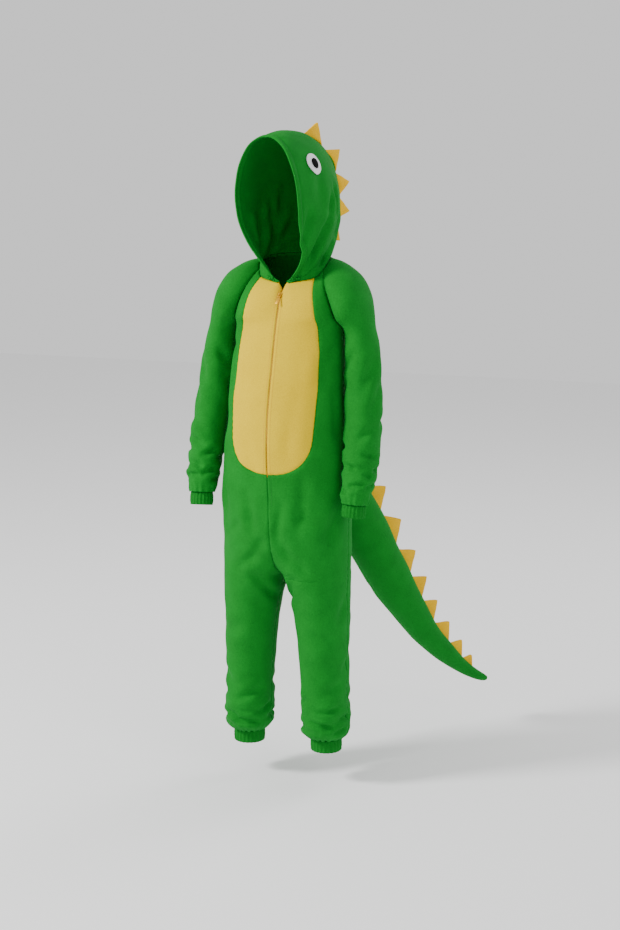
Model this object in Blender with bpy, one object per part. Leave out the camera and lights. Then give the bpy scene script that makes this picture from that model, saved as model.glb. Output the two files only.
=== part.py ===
"""A child's dinosaur costume: a hooded one-piece of fleece, hollow and in a standing pose.

Metres, +Z up. The costume's front faces -Y and its left side is +X. Heights in the tables are
above the soles of the feet; the origin is on the body's axis at the height of the shoulders,
where the costume is held. Every cloth piece is a thin wall on one garment surface, and the
pieces share the points of their seams, so each seam is a gap of constant width.
"""
import math

import bmesh
import bpy
from mathutils import Matrix, Vector

SHOULDER_HEIGHT = 1.000
FLEECE = 0.0025
SEAM_GAP = 0.0003
SEAT_GAP = 0.0004
TAIL_SEAT_GAP = 0.0008

ANKLE_HEM = 0.0900
BELLY_BOTTOM = 0.615
BELLY_SIDE_START = 0.700
BELLY_HALF_WIDTH = 0.082
UNDERARM = 0.885
BELLY_EDGES = ((0.700, 0.0820), (0.760, 0.0835), (0.810, 0.0825), (0.848, 0.0795), (0.885, 0.0750))
ZIP_BOTTOM = 0.555
ZIP_GAP = 0.0012
SIDES = {"left": 1, "right": -1}

FRONT_COLUMNS = 8
BELLY_COLUMNS = 4
RAGLAN_ROWS = 5
SLEEVE_COLUMNS = 14

GREEN = (0.004, 0.26, 0.008)
YELLOW = (0.98, 0.66, 0.003)
GOLD = (0.95, 0.52, 0.002)
OCHRE = (0.58, 0.31, 0.004)
WHITE = (0.80, 0.81, 0.80)
BLACK = (0.006, 0.006, 0.007)

# height, centre_x, half_width, front_depth, back_depth of one half of the body
BODY_SECTIONS = (
    (0.090, 0.0810, 0.0315, 0.0330, 0.0330),
    (0.098, 0.0808, 0.0415, 0.0460, 0.0460),
    (0.111, 0.0805, 0.0468, 0.0550, 0.0550),
    (0.128, 0.0800, 0.0472, 0.0565, 0.0565),
    (0.150, 0.0792, 0.0455, 0.0545, 0.0550),
    (0.200, 0.0780, 0.0458, 0.0560, 0.0580),
    (0.250, 0.0765, 0.0472, 0.0580, 0.0605),
    (0.300, 0.0742, 0.0497, 0.0610, 0.0640),
    (0.350, 0.0705, 0.0537, 0.0655, 0.0700),
    (0.385, 0.0663, 0.0583, 0.0700, 0.0760),
    (0.410, 0.0625, 0.0625, 0.0735, 0.0820),
    (0.430, 0.0520, 0.0730, 0.0765, 0.0870),
    (0.460, 0.0330, 0.0925, 0.0805, 0.0930),
    (0.500, 0.0140, 0.1118, 0.0865, 0.0975),
    (0.550, 0.0030, 0.1235, 0.0900, 0.0980),
    (0.600, 0.0000, 0.1262, 0.0930, 0.0950),
    (0.650, 0.0000, 0.1225, 0.0965, 0.0900),
    (0.700, 0.0000, 0.1180, 0.0970, 0.0860),
    (0.745, 0.0000, 0.1140, 0.0940, 0.0840),
    (0.800, 0.0000, 0.1105, 0.0870, 0.0830),
    (0.850, 0.0000, 0.1065, 0.0800, 0.0835),
    (0.885, 0.0000, 0.1070, 0.0740, 0.0840),
)

# height, angle, depth, reach along the fold, half_width across it, slant; depth < 0 is a trough
FOLDS_LEFT = (
    (0.112, 95, -0.0040, 0.030, 0.0065, 14),
    (0.124, 55, -0.0045, 0.028, 0.0070, -16),
    (0.136, 120, -0.0035, 0.030, 0.0080, -12),
    (0.113, -70, -0.0045, 0.034, 0.0070, 10),
    (0.130, -120, -0.0040, 0.030, 0.0075, -12),
    (0.160, 70, 0.0028, 0.036, 0.0120, 12),
    (0.190, 130, -0.0022, 0.040, 0.0120, 25),
    (0.215, -90, -0.0030, 0.040, 0.0120, -15),
    (0.265, -60, -0.0030, 0.046, 0.0140, 20),
    (0.280, 60, 0.0025, 0.050, 0.0150, -35),
    (0.360, 120, -0.0035, 0.050, 0.0110, 48),
    (0.420, 60, -0.0030, 0.060, 0.0130, 40),
    (0.455, -60, -0.0040, 0.060, 0.0140, -38),
    (0.545, 35, 0.0030, 0.060, 0.0160, -60),
    (0.690, 20, -0.0035, 0.060, 0.0140, -18),
    (0.770, 35, 0.0025, 0.050, 0.0160, 70),
    (0.760, -50, -0.0035, 0.070, 0.0160, 62),
)
FOLDS_RIGHT = (
    (0.108, 60, -0.0045, 0.030, 0.0065, -12),
    (0.117, 105, -0.0040, 0.030, 0.0070, 12),
    (0.134, 75, -0.0030, 0.028, 0.0075, 16),
    (0.110, -80, -0.0045, 0.034, 0.0070, -10),
    (0.128, -130, -0.0040, 0.030, 0.0075, 14),
    (0.158, 110, 0.0030, 0.036, 0.0120, -14),
    (0.185, 50, -0.0025, 0.040, 0.0120, -22),
    (0.210, -100, -0.0030, 0.040, 0.0120, 16),
    (0.270, -55, -0.0028, 0.046, 0.0140, -22),
    (0.300, 115, 0.0028, 0.050, 0.0150, 30),
    (0.370, 125, -0.0035, 0.050, 0.0110, -46),
    (0.430, 65, -0.0030, 0.060, 0.0130, -42),
    (0.450, -55, -0.0040, 0.060, 0.0140, 36),
    (0.560, 30, 0.0030, 0.060, 0.0160, 58),
    (0.700, 25, -0.0035, 0.060, 0.0140, 20),
    (0.775, 38, 0.0025, 0.050, 0.0160, -68),
    (0.770, -55, -0.0035, 0.070, 0.0160, -60),
)

# half of the neck seam, from the centre front (0 degrees) round to the centre back
NECK_HALF_WIDTH = 0.068
NECK_HALF_DEPTH = 0.0585
NECK_CENTRE_Y = 0.0165
NECK_NOTCH_WIDTH = 0.0075
NECK_NOTCH_HEIGHT = 0.9545
NECK_BELLY_ANGLE = 52
NECK_FRONT_RAGLAN = 70
NECK_BACK_RAGLAN = 125
NECK_HEIGHTS = ((0, 0.966), (52, 0.975), (70, 0.988), (90, 1.004), (125, 1.012), (180, 1.015))

# x, y, height of points down the raglan seams and up the two centre lines
FRONT_RAGLAN = ((0.107, 0.000, 0.885), (0.1015, -0.023, 0.897), (0.0945, -0.034, 0.917),
                (0.0855, -0.036, 0.941), (0.0755, -0.027, 0.965), (0.0639, -0.0035, 0.988))
BACK_RAGLAN = ((0.107, 0.000, 0.885), (0.1025, 0.032, 0.901), (0.0960, 0.053, 0.926),
               (0.0850, 0.065, 0.956), (0.0710, 0.063, 0.986), (0.0557, 0.050, 1.012))
FRONT_CENTRE = ((0.0, -0.0740, 0.885), (0.0, -0.0665, 0.912), (0.0, -0.0560, 0.938), (0.0, -0.0420, 0.9545))
BACK_CENTRE = ((0.0, 0.0840, 0.885), (0.0, 0.0842, 0.920), (0.0, 0.0835, 0.960), (0.0, 0.0750, 1.015))
SHOULDER_LINE = ((0.1620, 0.006, 0.895), (0.1545, 0.007, 0.930), (0.1420, 0.008, 0.962),
                 (0.1230, 0.009, 0.985), (0.0950, 0.010, 1.000), (0.0680, 0.0165, 1.004))
FRONT_FULLNESS = 0.040

# height, centre_x, centre_y, half_width, half_depth down each arm
ARM_LEFT = (
    (0.885, 0.1345, 0.003, 0.0275, 0.0400),
    (0.862, 0.1410, 0.004, 0.0295, 0.0400),
    (0.830, 0.1460, 0.004, 0.0322, 0.0395),
    (0.790, 0.1485, 0.002, 0.0345, 0.0385),
    (0.745, 0.1520, -0.002, 0.0355, 0.0380),
    (0.700, 0.1550, -0.008, 0.0352, 0.0375),
    (0.660, 0.1570, -0.017, 0.0340, 0.0365),
    (0.625, 0.1570, -0.027, 0.0318, 0.0345),
    (0.595, 0.1560, -0.036, 0.0300, 0.0325),
    (0.576, 0.1550, -0.042, 0.0285, 0.0305),
    (0.562, 0.1540, -0.046, 0.0235, 0.0245),
)
ARM_RIGHT = (
    (0.885, 0.1345, 0.003, 0.0275, 0.0400),
    (0.862, 0.1412, 0.008, 0.0295, 0.0400),
    (0.830, 0.1465, 0.012, 0.0322, 0.0395),
    (0.790, 0.1505, 0.014, 0.0345, 0.0385),
    (0.745, 0.1550, 0.012, 0.0355, 0.0380),
    (0.700, 0.1590, 0.005, 0.0352, 0.0375),
    (0.660, 0.1615, -0.006, 0.0340, 0.0365),
    (0.625, 0.1620, -0.018, 0.0318, 0.0345),
    (0.595, 0.1615, -0.029, 0.0300, 0.0325),
    (0.576, 0.1605, -0.036, 0.0285, 0.0305),
    (0.562, 0.1595, -0.041, 0.0235, 0.0245),
)
SLEEVE_HEIGHTS = (0.562, 0.568, 0.577, 0.587, 0.598, 0.610, 0.624, 0.640, 0.660,
                  0.688, 0.718, 0.750, 0.784, 0.816, 0.844, 0.866)
# height, turn round the sleeve in degrees (0 under the arm, 90 front, 180 outside), depth,
# reach along the fold, half_width across it, slant
SLEEVE_FOLDS_LEFT = (
    (0.583, 160, -0.0035, 0.034, 0.0055, 12),
    (0.590, 40, -0.0035, 0.030, 0.0060, -14),
    (0.604, 200, 0.0028, 0.040, 0.0075, -10),
    (0.612, 90, -0.0032, 0.030, 0.0065, 16),
    (0.630, 20, -0.0035, 0.040, 0.0080, 10),
    (0.650, 150, 0.0022, 0.040, 0.0110, -20),
    (0.690, 330, -0.0030, 0.045, 0.0110, 20),
    (0.735, 60, -0.0028, 0.045, 0.0120, 35),
    (0.800, 270, -0.0030, 0.050, 0.0120, -40),
)
SLEEVE_FOLDS_RIGHT = (
    (0.581, 120, -0.0035, 0.034, 0.0055, -12),
    (0.590, 230, -0.0030, 0.034, 0.0060, 10),
    (0.601, 180, 0.0026, 0.040, 0.0070, 12),
    (0.612, 175, -0.0035, 0.036, 0.0060, -8),
    (0.634, 100, -0.0030, 0.040, 0.0080, 14),
    (0.655, 210, 0.0022, 0.040, 0.0110, 18),
    (0.700, 310, -0.0030, 0.045, 0.0110, -24),
    (0.745, 70, -0.0028, 0.045, 0.0120, -35),
    (0.805, 280, -0.0030, 0.050, 0.0120, 40),
)

CUFF_THICKNESS = 0.0022
RIB_HEIGHT = 0.0016
WRIST_CUFF_LENGTH = 0.024
WRIST_CUFF_RADIUS = 0.0222
WRIST_RIBS = 20
ANKLE_CUFF_LENGTH = 0.0247
ANKLE_CUFF_RADIUS = 0.0305
ANKLE_RIBS = 24

HOOD_TURN = math.radians(-16)
HOOD_TILT = math.tan(math.radians(4))
HOOD_TURN_START = 0.985
HOOD_TURN_END = 1.085
HOOD_ROWS = (0.0, 0.07, 0.16, 0.28, 0.42, 0.56, 0.70, 0.84, 0.945, 1.0)
HOOD_EASING_ROW = 0.28
# row, centre_y, height, half_width, widest, point, lift: the centre seam and each arc's sideways shape
HOOD_ARCS = (
    (0.00, 0.075, 1.015, 0.068, 0.50, 0.50, 0.0135),
    (0.10, 0.118, 1.034, 0.067, 0.45, 0.75, 0.0340),
    (0.22, 0.147, 1.068, 0.067, 0.39, 1.05, 0.0320),
    (0.36, 0.161, 1.115, 0.069, 0.36, 1.20, 0.0260),
    (0.50, 0.156, 1.165, 0.072, 0.38, 1.20, 0.0170),
    (0.62, 0.131, 1.205, 0.076, 0.42, 1.05, 0.0090),
    (0.74, 0.083, 1.231, 0.079, 0.47, 0.78, 0.0030),
    (0.86, 0.030, 1.242, 0.078, 0.51, 0.60, 0.0000),
    (0.94, -0.015, 1.240, 0.076, 0.53, 0.52, 0.0000),
    (1.00, -0.050, 1.230, 0.073, 0.55, 0.50, 0.0000),
)
RIM_BOW = 0.014
RIM_NARROWING = 0.35

EYE_ROW = 0.865
EYE_FRACTION = 0.722
EYE_RADIUS = 0.0200
PUPIL_RADIUS = 0.0098

TAIL_TURN = math.radians(36)
TAIL_ROOT_Y = 0.095
TAIL_ROOT_HEIGHT = 0.578
TAIL_ROOT_HALF_WIDTH = 0.046
TAIL_ROOT_HALF_HEIGHT = 0.058
TAIL_SIDES = 16
# distance out along the tail's plane, height, radius
TAIL_STATIONS = (
    (0.052, 0.563, 0.0500),
    (0.088, 0.530, 0.0515),
    (0.126, 0.474, 0.0500),
    (0.165, 0.409, 0.0468),
    (0.206, 0.342, 0.0425),
    (0.245, 0.284, 0.0365),
    (0.284, 0.232, 0.0295),
    (0.325, 0.187, 0.0240),
    (0.367, 0.149, 0.0182),
    (0.408, 0.119, 0.0135),
    (0.438, 0.102, 0.0098),
    (0.452, 0.096, 0.0062),
)
SPIKE_THICKNESS = 0.007
# start and end along the tail, 0 at the root and 1 at the tip, and height of each spike
TAIL_SPIKES = (
    (0.105, 0.211, 0.041),
    (0.217, 0.347, 0.037),
    (0.353, 0.466, 0.037),
    (0.470, 0.569, 0.034),
    (0.575, 0.669, 0.031),
    (0.675, 0.776, 0.028),
    (0.782, 0.862, 0.0245),
    (0.868, 0.925, 0.016),
)
# start and end along the hood's centre seam, 0 at the neck and 1 at the face, and height
HOOD_SPIKES = (
    (0.656, 0.788, 0.037),
    (0.500, 0.632, 0.038),
    (0.372, 0.494, 0.039),
    (0.246, 0.366, 0.039),
    (0.118, 0.240, 0.040),
)

SLIDER_HEIGHT = 0.9430
SLIDER_STANDOFF = 0.0019
PULL_LENGTH = 0.0205
PULL_WIDTH = 0.0052
PULL_THICKNESS = 0.0012


def smooth_step(low, high, value):
    t = min(max((value - low) / (high - low), 0.0), 1.0)
    return t * t * (3 - 2 * t)


def read_table(rows, key):
    """The columns after the first, read between rows along a smooth curve with no overshoot."""
    keys = [row[0] for row in rows]
    if key <= keys[0]:
        return rows[0][1:]
    if key >= keys[-1]:
        return rows[-1][1:]
    index = next(i for i in range(len(keys) - 1) if key <= keys[i + 1])
    span = keys[index + 1] - keys[index]
    t = (key - keys[index]) / span

    def slope(i, column):
        if i == 0 or i == len(keys) - 1:
            j = max(i, 1)
            return (rows[j][column] - rows[j - 1][column]) / (keys[j] - keys[j - 1])
        before = (rows[i][column] - rows[i - 1][column]) / (keys[i] - keys[i - 1])
        after = (rows[i + 1][column] - rows[i][column]) / (keys[i + 1] - keys[i])
        return 0.0 if before * after <= 0 else 2 * before * after / (before + after)

    values = []
    for column in range(1, len(rows[0])):
        a = rows[index][column]
        b = rows[index + 1][column]
        ta = slope(index, column) * span
        tb = slope(index + 1, column) * span
        values.append(a + ta * t + (3 * (b - a) - 2 * ta - tb) * t * t + (2 * (a - b) + ta + tb) * t ** 3)
    return values


def along(points, fraction):
    """A point at a fraction of the way along a smooth curve through evenly counted points."""
    rows = [(i / (len(points) - 1), *point) for i, point in enumerate(points)]
    return Vector(read_table(rows, fraction))


def fold_depth(folds, height, angle, girth):
    """How far the folds move the cloth in or out at one place."""
    depth = 0.0
    for fold_height, fold_angle, fold_size, reach, half_width, slant in folds:
        turn = math.radians(angle - fold_angle)
        sideways = math.atan2(math.sin(turn), math.cos(turn)) * girth
        upwards = height - fold_height
        tilt = math.radians(slant)
        lengthways = sideways * math.cos(tilt) + upwards * math.sin(tilt)
        across = upwards * math.cos(tilt) - sideways * math.sin(tilt)
        depth += fold_size * math.exp(-(lengthways / reach) ** 2 - (across / half_width) ** 2)
    return depth


def body_point(side, height, angle):
    """A point of one half of the body: angle 0 is the side seam, positive angles are in front."""
    centre, half_width, front, back = read_table(BODY_SECTIONS, height)
    depth = front if math.sin(angle) > 0 else back
    folds = FOLDS_LEFT if side > 0 else FOLDS_RIGHT
    x = centre + half_width * math.cos(angle)
    fade = smooth_step(0.0, 0.02, x) * smooth_step(ANKLE_HEM, ANKLE_HEM + 0.012, height)
    fade *= 1 - smooth_step(UNDERARM - 0.03, UNDERARM, height)
    swell = fold_depth(folds, height, math.degrees(angle), half_width) * fade
    x += swell * math.cos(angle)
    return Vector((side * x, -(depth + swell) * math.sin(angle), height))


def edge_angle(height, edge_x):
    """The angle at which the half body meets the upright plane at edge_x."""
    centre, half_width = read_table(BODY_SECTIONS, height)[:2]
    return math.acos(min(max((edge_x - centre) / half_width, -1.0), 1.0))


def neck_point(side, degrees):
    turn = math.radians(degrees)
    height = read_table(NECK_HEIGHTS, degrees)[0]
    y = NECK_CENTRE_Y - NECK_HALF_DEPTH * math.cos(turn)
    return Vector((side * NECK_HALF_WIDTH * math.sin(turn), y, height))


def fill_patch(bottom, top, left, right):
    """Rows of points that fill the space between four edges."""
    rows = len(left) - 1
    columns = len(bottom) - 1
    bottom_share = shares(bottom)
    top_share = shares(top)
    grid = []
    for i in range(rows + 1):
        v = i / rows
        row = []
        for j in range(columns + 1):
            u = bottom_share[j] * (1 - v) + top_share[j] * v
            point = bottom[j] * (1 - v) + top[j] * v + left[i] * (1 - u) + right[i] * u
            point -= (bottom[0] * (1 - u) + bottom[-1] * u) * (1 - v)
            point -= (top[0] * (1 - u) + top[-1] * u) * v
            row.append(point)
        grid.append(row)
    return grid


def shares(points):
    """Each point's share of the length of the line through the points."""
    lengths = [0.0]
    for a, b in zip(points, points[1:]):
        lengths.append(lengths[-1] + (b - a).length)
    return [length / lengths[-1] for length in lengths]


# Heights of the rows of the two fronts and backs, up to the corner of the belly panel
LEG_HEIGHTS = (0.090, 0.094, 0.100, 0.107, 0.115, 0.123, 0.132, 0.143, 0.158, 0.178, 0.203, 0.232,
               0.264, 0.298, 0.332, 0.362, 0.385, 0.400, 0.410)
SEAT_HEIGHTS = (0.4135, 0.421, 0.434, 0.455, 0.483, 0.518, 0.555, 0.590)
BELLY_CORNER_ROWS = 4
CHEST_HEIGHTS = (0.735, 0.772, 0.810, 0.848, 0.885)


def belly_edge(degrees):
    """The rounded lower edge of the belly panel: 0 is its side and 90 its lowest point."""
    turn = math.radians(degrees)
    x = BELLY_HALF_WIDTH * math.cos(turn) ** 0.8
    height = BELLY_SIDE_START - (BELLY_SIDE_START - BELLY_BOTTOM) * math.sin(turn) ** 0.8
    return x, height


def belly_side_heights():
    """Row heights at the side seam from the belly panel's corner to the underarm."""
    corner = [belly_edge(45 - 45 * i / BELLY_CORNER_ROWS)[1] for i in range(BELLY_CORNER_ROWS + 1)]
    return corner + list(CHEST_HEIGHTS)


def belly_half_width(height):
    if height < BELLY_SIDE_START:
        drop = (BELLY_SIDE_START - height) / (BELLY_SIDE_START - BELLY_BOTTOM)
        turn = math.asin(min(drop, 1.0) ** (1 / 0.8))
        return BELLY_HALF_WIDTH * math.cos(turn) ** 0.8
    return read_table(BELLY_EDGES, height)[0]


def centre_edge(height):
    return ZIP_GAP * smooth_step(ZIP_BOTTOM - 0.04, ZIP_BOTTOM, height)


def front_grid(side):
    """The whole front half, green and yellow, as rows from the ankle to the neck."""
    grid = []
    for height in LEG_HEIGHTS + SEAT_HEIGHTS:
        start = edge_angle(height, centre_edge(height))
        angles = [start * (1 - j / FRONT_COLUMNS) for j in range(FRONT_COLUMNS + 1)]
        grid.append([body_point(side, height, angle) for angle in angles])

    corner_x, corner_height = belly_edge(45)
    edge_xs = []
    edge_heights = []
    for j in range(BELLY_COLUMNS + 1):
        x, height = belly_edge(90 - 45 * j / BELLY_COLUMNS)
        edge_xs.append(x / corner_x)
        edge_heights.append(height)
    for side_height in belly_side_heights():
        rise = (side_height - corner_height) / (BELLY_SIDE_START - corner_height)
        belly_x = belly_half_width(side_height)
        row = []
        for j in range(FRONT_COLUMNS + 1):
            height = side_height
            if j < BELLY_COLUMNS:
                height = edge_heights[j] + (BELLY_SIDE_START - edge_heights[j]) * rise
                height = height if side_height <= BELLY_SIDE_START else side_height
            if j <= BELLY_COLUMNS:
                x = max(belly_x * edge_xs[j], centre_edge(height))
                angle = edge_angle(height, x)
            else:
                share = (j - BELLY_COLUMNS) / (FRONT_COLUMNS - BELLY_COLUMNS)
                angle = edge_angle(height, belly_x) * (1 - share)
            row.append(body_point(side, height, angle))
        grid.append(row)

    top = []
    for j in range(FRONT_COLUMNS + 1):
        if j <= BELLY_COLUMNS:
            start = math.degrees(math.asin(NECK_NOTCH_WIDTH / NECK_HALF_WIDTH))
            degrees = start + (NECK_BELLY_ANGLE - start) * max(j - 1, 0) / (BELLY_COLUMNS - 1)
        else:
            share = (j - BELLY_COLUMNS) / (FRONT_COLUMNS - BELLY_COLUMNS)
            degrees = NECK_BELLY_ANGLE + (NECK_FRONT_RAGLAN - NECK_BELLY_ANGLE) * share
        top.append(neck_point(side, degrees))
    top[0] = Vector((side * ZIP_GAP, FRONT_CENTRE[-1][1], NECK_NOTCH_HEIGHT))
    left = [along(FRONT_CENTRE, i / RAGLAN_ROWS) for i in range(RAGLAN_ROWS + 1)]
    for point in left:
        point.x = side * ZIP_GAP
    right = [raglan_point(FRONT_RAGLAN, side, i / RAGLAN_ROWS) for i in range(RAGLAN_ROWS + 1)]
    patch = fill_patch(grid[-1], top, left, right)
    return grid + patch[1:]


def raglan_point(seam, side, fraction):
    point = along(seam, fraction)
    point.x *= side
    return point


def back_grid(side):
    """One back half, as rows from the ankle to the neck."""
    heights = LEG_HEIGHTS + SEAT_HEIGHTS + tuple(belly_side_heights())
    grid = []
    for height in heights:
        start = edge_angle(height, 0.0)
        angles = [-start * (1 - j / FRONT_COLUMNS) for j in range(FRONT_COLUMNS + 1)]
        grid.append([body_point(side, height, angle) for angle in angles])
    span = 180 - NECK_BACK_RAGLAN
    top = [neck_point(side, 180 - span * j / FRONT_COLUMNS) for j in range(FRONT_COLUMNS + 1)]
    top[0].x = 0.0
    left = [along(BACK_CENTRE, i / RAGLAN_ROWS) for i in range(RAGLAN_ROWS + 1)]
    right = [raglan_point(BACK_RAGLAN, side, i / RAGLAN_ROWS) for i in range(RAGLAN_ROWS + 1)]
    patch = fill_patch(grid[-1], top, left, right)
    return grid + patch[1:]


def arm_frame(side, height):
    """Centre, outward and forward directions and half sizes of a sleeve at one height."""
    table = ARM_LEFT if side > 0 else ARM_RIGHT
    rows = sorted(table)
    x, y, half_width, half_depth = read_table(rows, height)
    above = read_table(rows, height + 0.004)
    below = read_table(rows, height - 0.004)
    rise = Vector((side * (above[0] - below[0]), above[1] - below[1], 0.008)).normalized()
    bend = 1 - smooth_step(0.80, UNDERARM, height)
    rise = (rise * bend + Vector((0, 0, 1 - bend))).normalized()
    forward = Vector((0, -1, 0))
    forward = (forward - rise * forward.dot(rise)).normalized()
    outward = side * rise.cross(forward)
    return Vector((side * x, y, height)), outward, forward, rise, half_width, half_depth


def sleeve_grid(side):
    """A sleeve from the wrist to the neck, each row from the front seam round to the back."""
    folds = SLEEVE_FOLDS_LEFT if side > 0 else SLEEVE_FOLDS_RIGHT
    grid = []
    for height in SLEEVE_HEIGHTS:
        centre, outward, forward, _, half_width, half_depth = arm_frame(side, height)
        fade = smooth_step(SLEEVE_HEIGHTS[0], SLEEVE_HEIGHTS[0] + 0.008, height)
        row = []
        for k in range(SLEEVE_COLUMNS):
            degrees = 360 * k / SLEEVE_COLUMNS
            turn = math.radians(degrees)
            swell = fade * fold_depth(folds, height, degrees, half_width)
            sideways = -outward * math.cos(turn) * (half_width + swell)
            row.append(centre + sideways + forward * math.sin(turn) * (half_depth + swell))
        row.append(row[0])
        grid.append(row)
    for i in range(RAGLAN_ROWS + 1):
        fraction = i / RAGLAN_ROWS
        front = raglan_point(FRONT_RAGLAN, side, fraction)
        back = raglan_point(BACK_RAGLAN, side, fraction)
        outer = raglan_point(SHOULDER_LINE, side, fraction)
        middle = (front + back) / 2
        power = 2 - fraction
        row = []
        for k in range(SLEEVE_COLUMNS + 1):
            turn = math.pi * k / SLEEVE_COLUMNS
            point = middle + (outer - middle) * math.sin(turn) ** power
            point += (front - back) / 2 * math.cos(turn)
            point.y -= FRONT_FULLNESS * (1 - smooth_step(0, 1, fraction)) * math.sin(2 * turn)
            row.append(point)
        row[0] = front
        row[-1] = back
        grid.append(row)
    span = NECK_BACK_RAGLAN - NECK_FRONT_RAGLAN
    for k in range(1, SLEEVE_COLUMNS):
        grid[-1][k] = neck_point(side, NECK_FRONT_RAGLAN + span * k / SLEEVE_COLUMNS)
    return grid


def hood_seam(row):
    y, height = read_table(HOOD_ARCS, row)[:2]
    return Vector((0.0, y, height))


def hood_seam_start(side):
    """Where the hood's front edges leave the neck seam, beside the zip."""
    return neck_point(side, math.degrees(math.asin(NECK_NOTCH_WIDTH / NECK_HALF_WIDTH)))


def hood_arc(row, fractions):
    """Points of one arc of the hood's left half, from the front of the neck to the centre seam."""
    y, height, half_width, widest, point, lift = read_table(HOOD_ARCS, row)
    start = hood_seam_start(1)
    end = Vector((0.0, y, height))
    bow = RIM_BOW * smooth_step(0.75, 1.0, row)
    narrowing = 0.5 + RIM_NARROWING * smooth_step(0.5, 1.0, row)
    samples = []
    steps = 60
    for n in range(steps + 1):
        f = (1 - math.cos(math.pi * n / steps)) / 2
        if f < widest:
            wide = max(1 - ((widest - f) / widest) ** 2, 0.0) ** narrowing
        else:
            wide = (1 - ((f - widest) / (1 - widest)) ** 2) ** point
        spot = start.lerp(end, f)
        spot.x = start.x * (1 - f) ** 3 + half_width * wide * (1 - (start.x / half_width) * (1 - f) ** 3)
        spot.z += lift * 4 * f * (1 - f)
        spot.y -= bow * 4 * f * (1 - f)
        samples.append(spot)
    lengths = shares(samples)
    points = []
    for fraction in fractions:
        index = min(next(i for i in range(steps) if fraction <= lengths[i + 1] + 1e-9), steps - 1)
        span = lengths[index + 1] - lengths[index]
        points.append(samples[index].lerp(samples[index + 1], (fraction - lengths[index]) / span))
    return points


def hood_turned(point):
    """The hood is turned and tilted to the costume's right, more and more above the neck."""
    angle = HOOD_TURN * smooth_step(HOOD_TURN_START, HOOD_TURN_END, point.z)
    turned = Matrix.Rotation(angle, 3, "Z") @ point
    rise = max(point.z - HOOD_TURN_START, 0.0)
    turned.x -= HOOD_TILT * rise * smooth_step(0.0, HOOD_TURN_END - HOOD_TURN_START, rise)
    return turned


def hood_grid(side, neck):
    """One half of the hood, as rows from the neck seam to the edge round the face."""
    fractions = shares(neck)
    base = hood_arc(0.0, fractions)
    grid = [neck]
    for row in HOOD_ROWS[1:]:
        even = smooth_step(0.0, 0.6, row)
        places = [f * (1 - even) + even * j / (len(neck) - 1) for j, f in enumerate(fractions)]
        easing = max(1 - row / HOOD_EASING_ROW, 0.0) ** 2
        points = []
        for j, point in enumerate(hood_arc(row, places)):
            shift = (Vector((abs(neck[j].x), neck[j].y, neck[j].z)) - base[j]) * easing
            point = point + shift
            point.x *= side
            points.append(hood_turned(point))
        points[0] = neck[0]
        points[-1] = hood_turned(hood_seam(row))
        grid.append(points)
    return grid


def seam_spot(row):
    """A point of the hood's centre seam, which is straight between the rows."""
    index = next(i for i in range(len(HOOD_ROWS) - 1) if row <= HOOD_ROWS[i + 1])
    low, high = HOOD_ROWS[index:index + 2]
    ends = [in_frame(hood_turned(hood_seam(end))) for end in (low, high)]
    return ends[0].lerp(ends[1], (row - low) / (high - low))


def lean(height):
    """The upper body leans a little to the costume's left."""
    return 0.010 * smooth_step(0.66, 0.95, height)


def in_frame(point):
    return Vector((point.x + lean(point.z), point.y, point.z - SHOULDER_HEIGHT))


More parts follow.
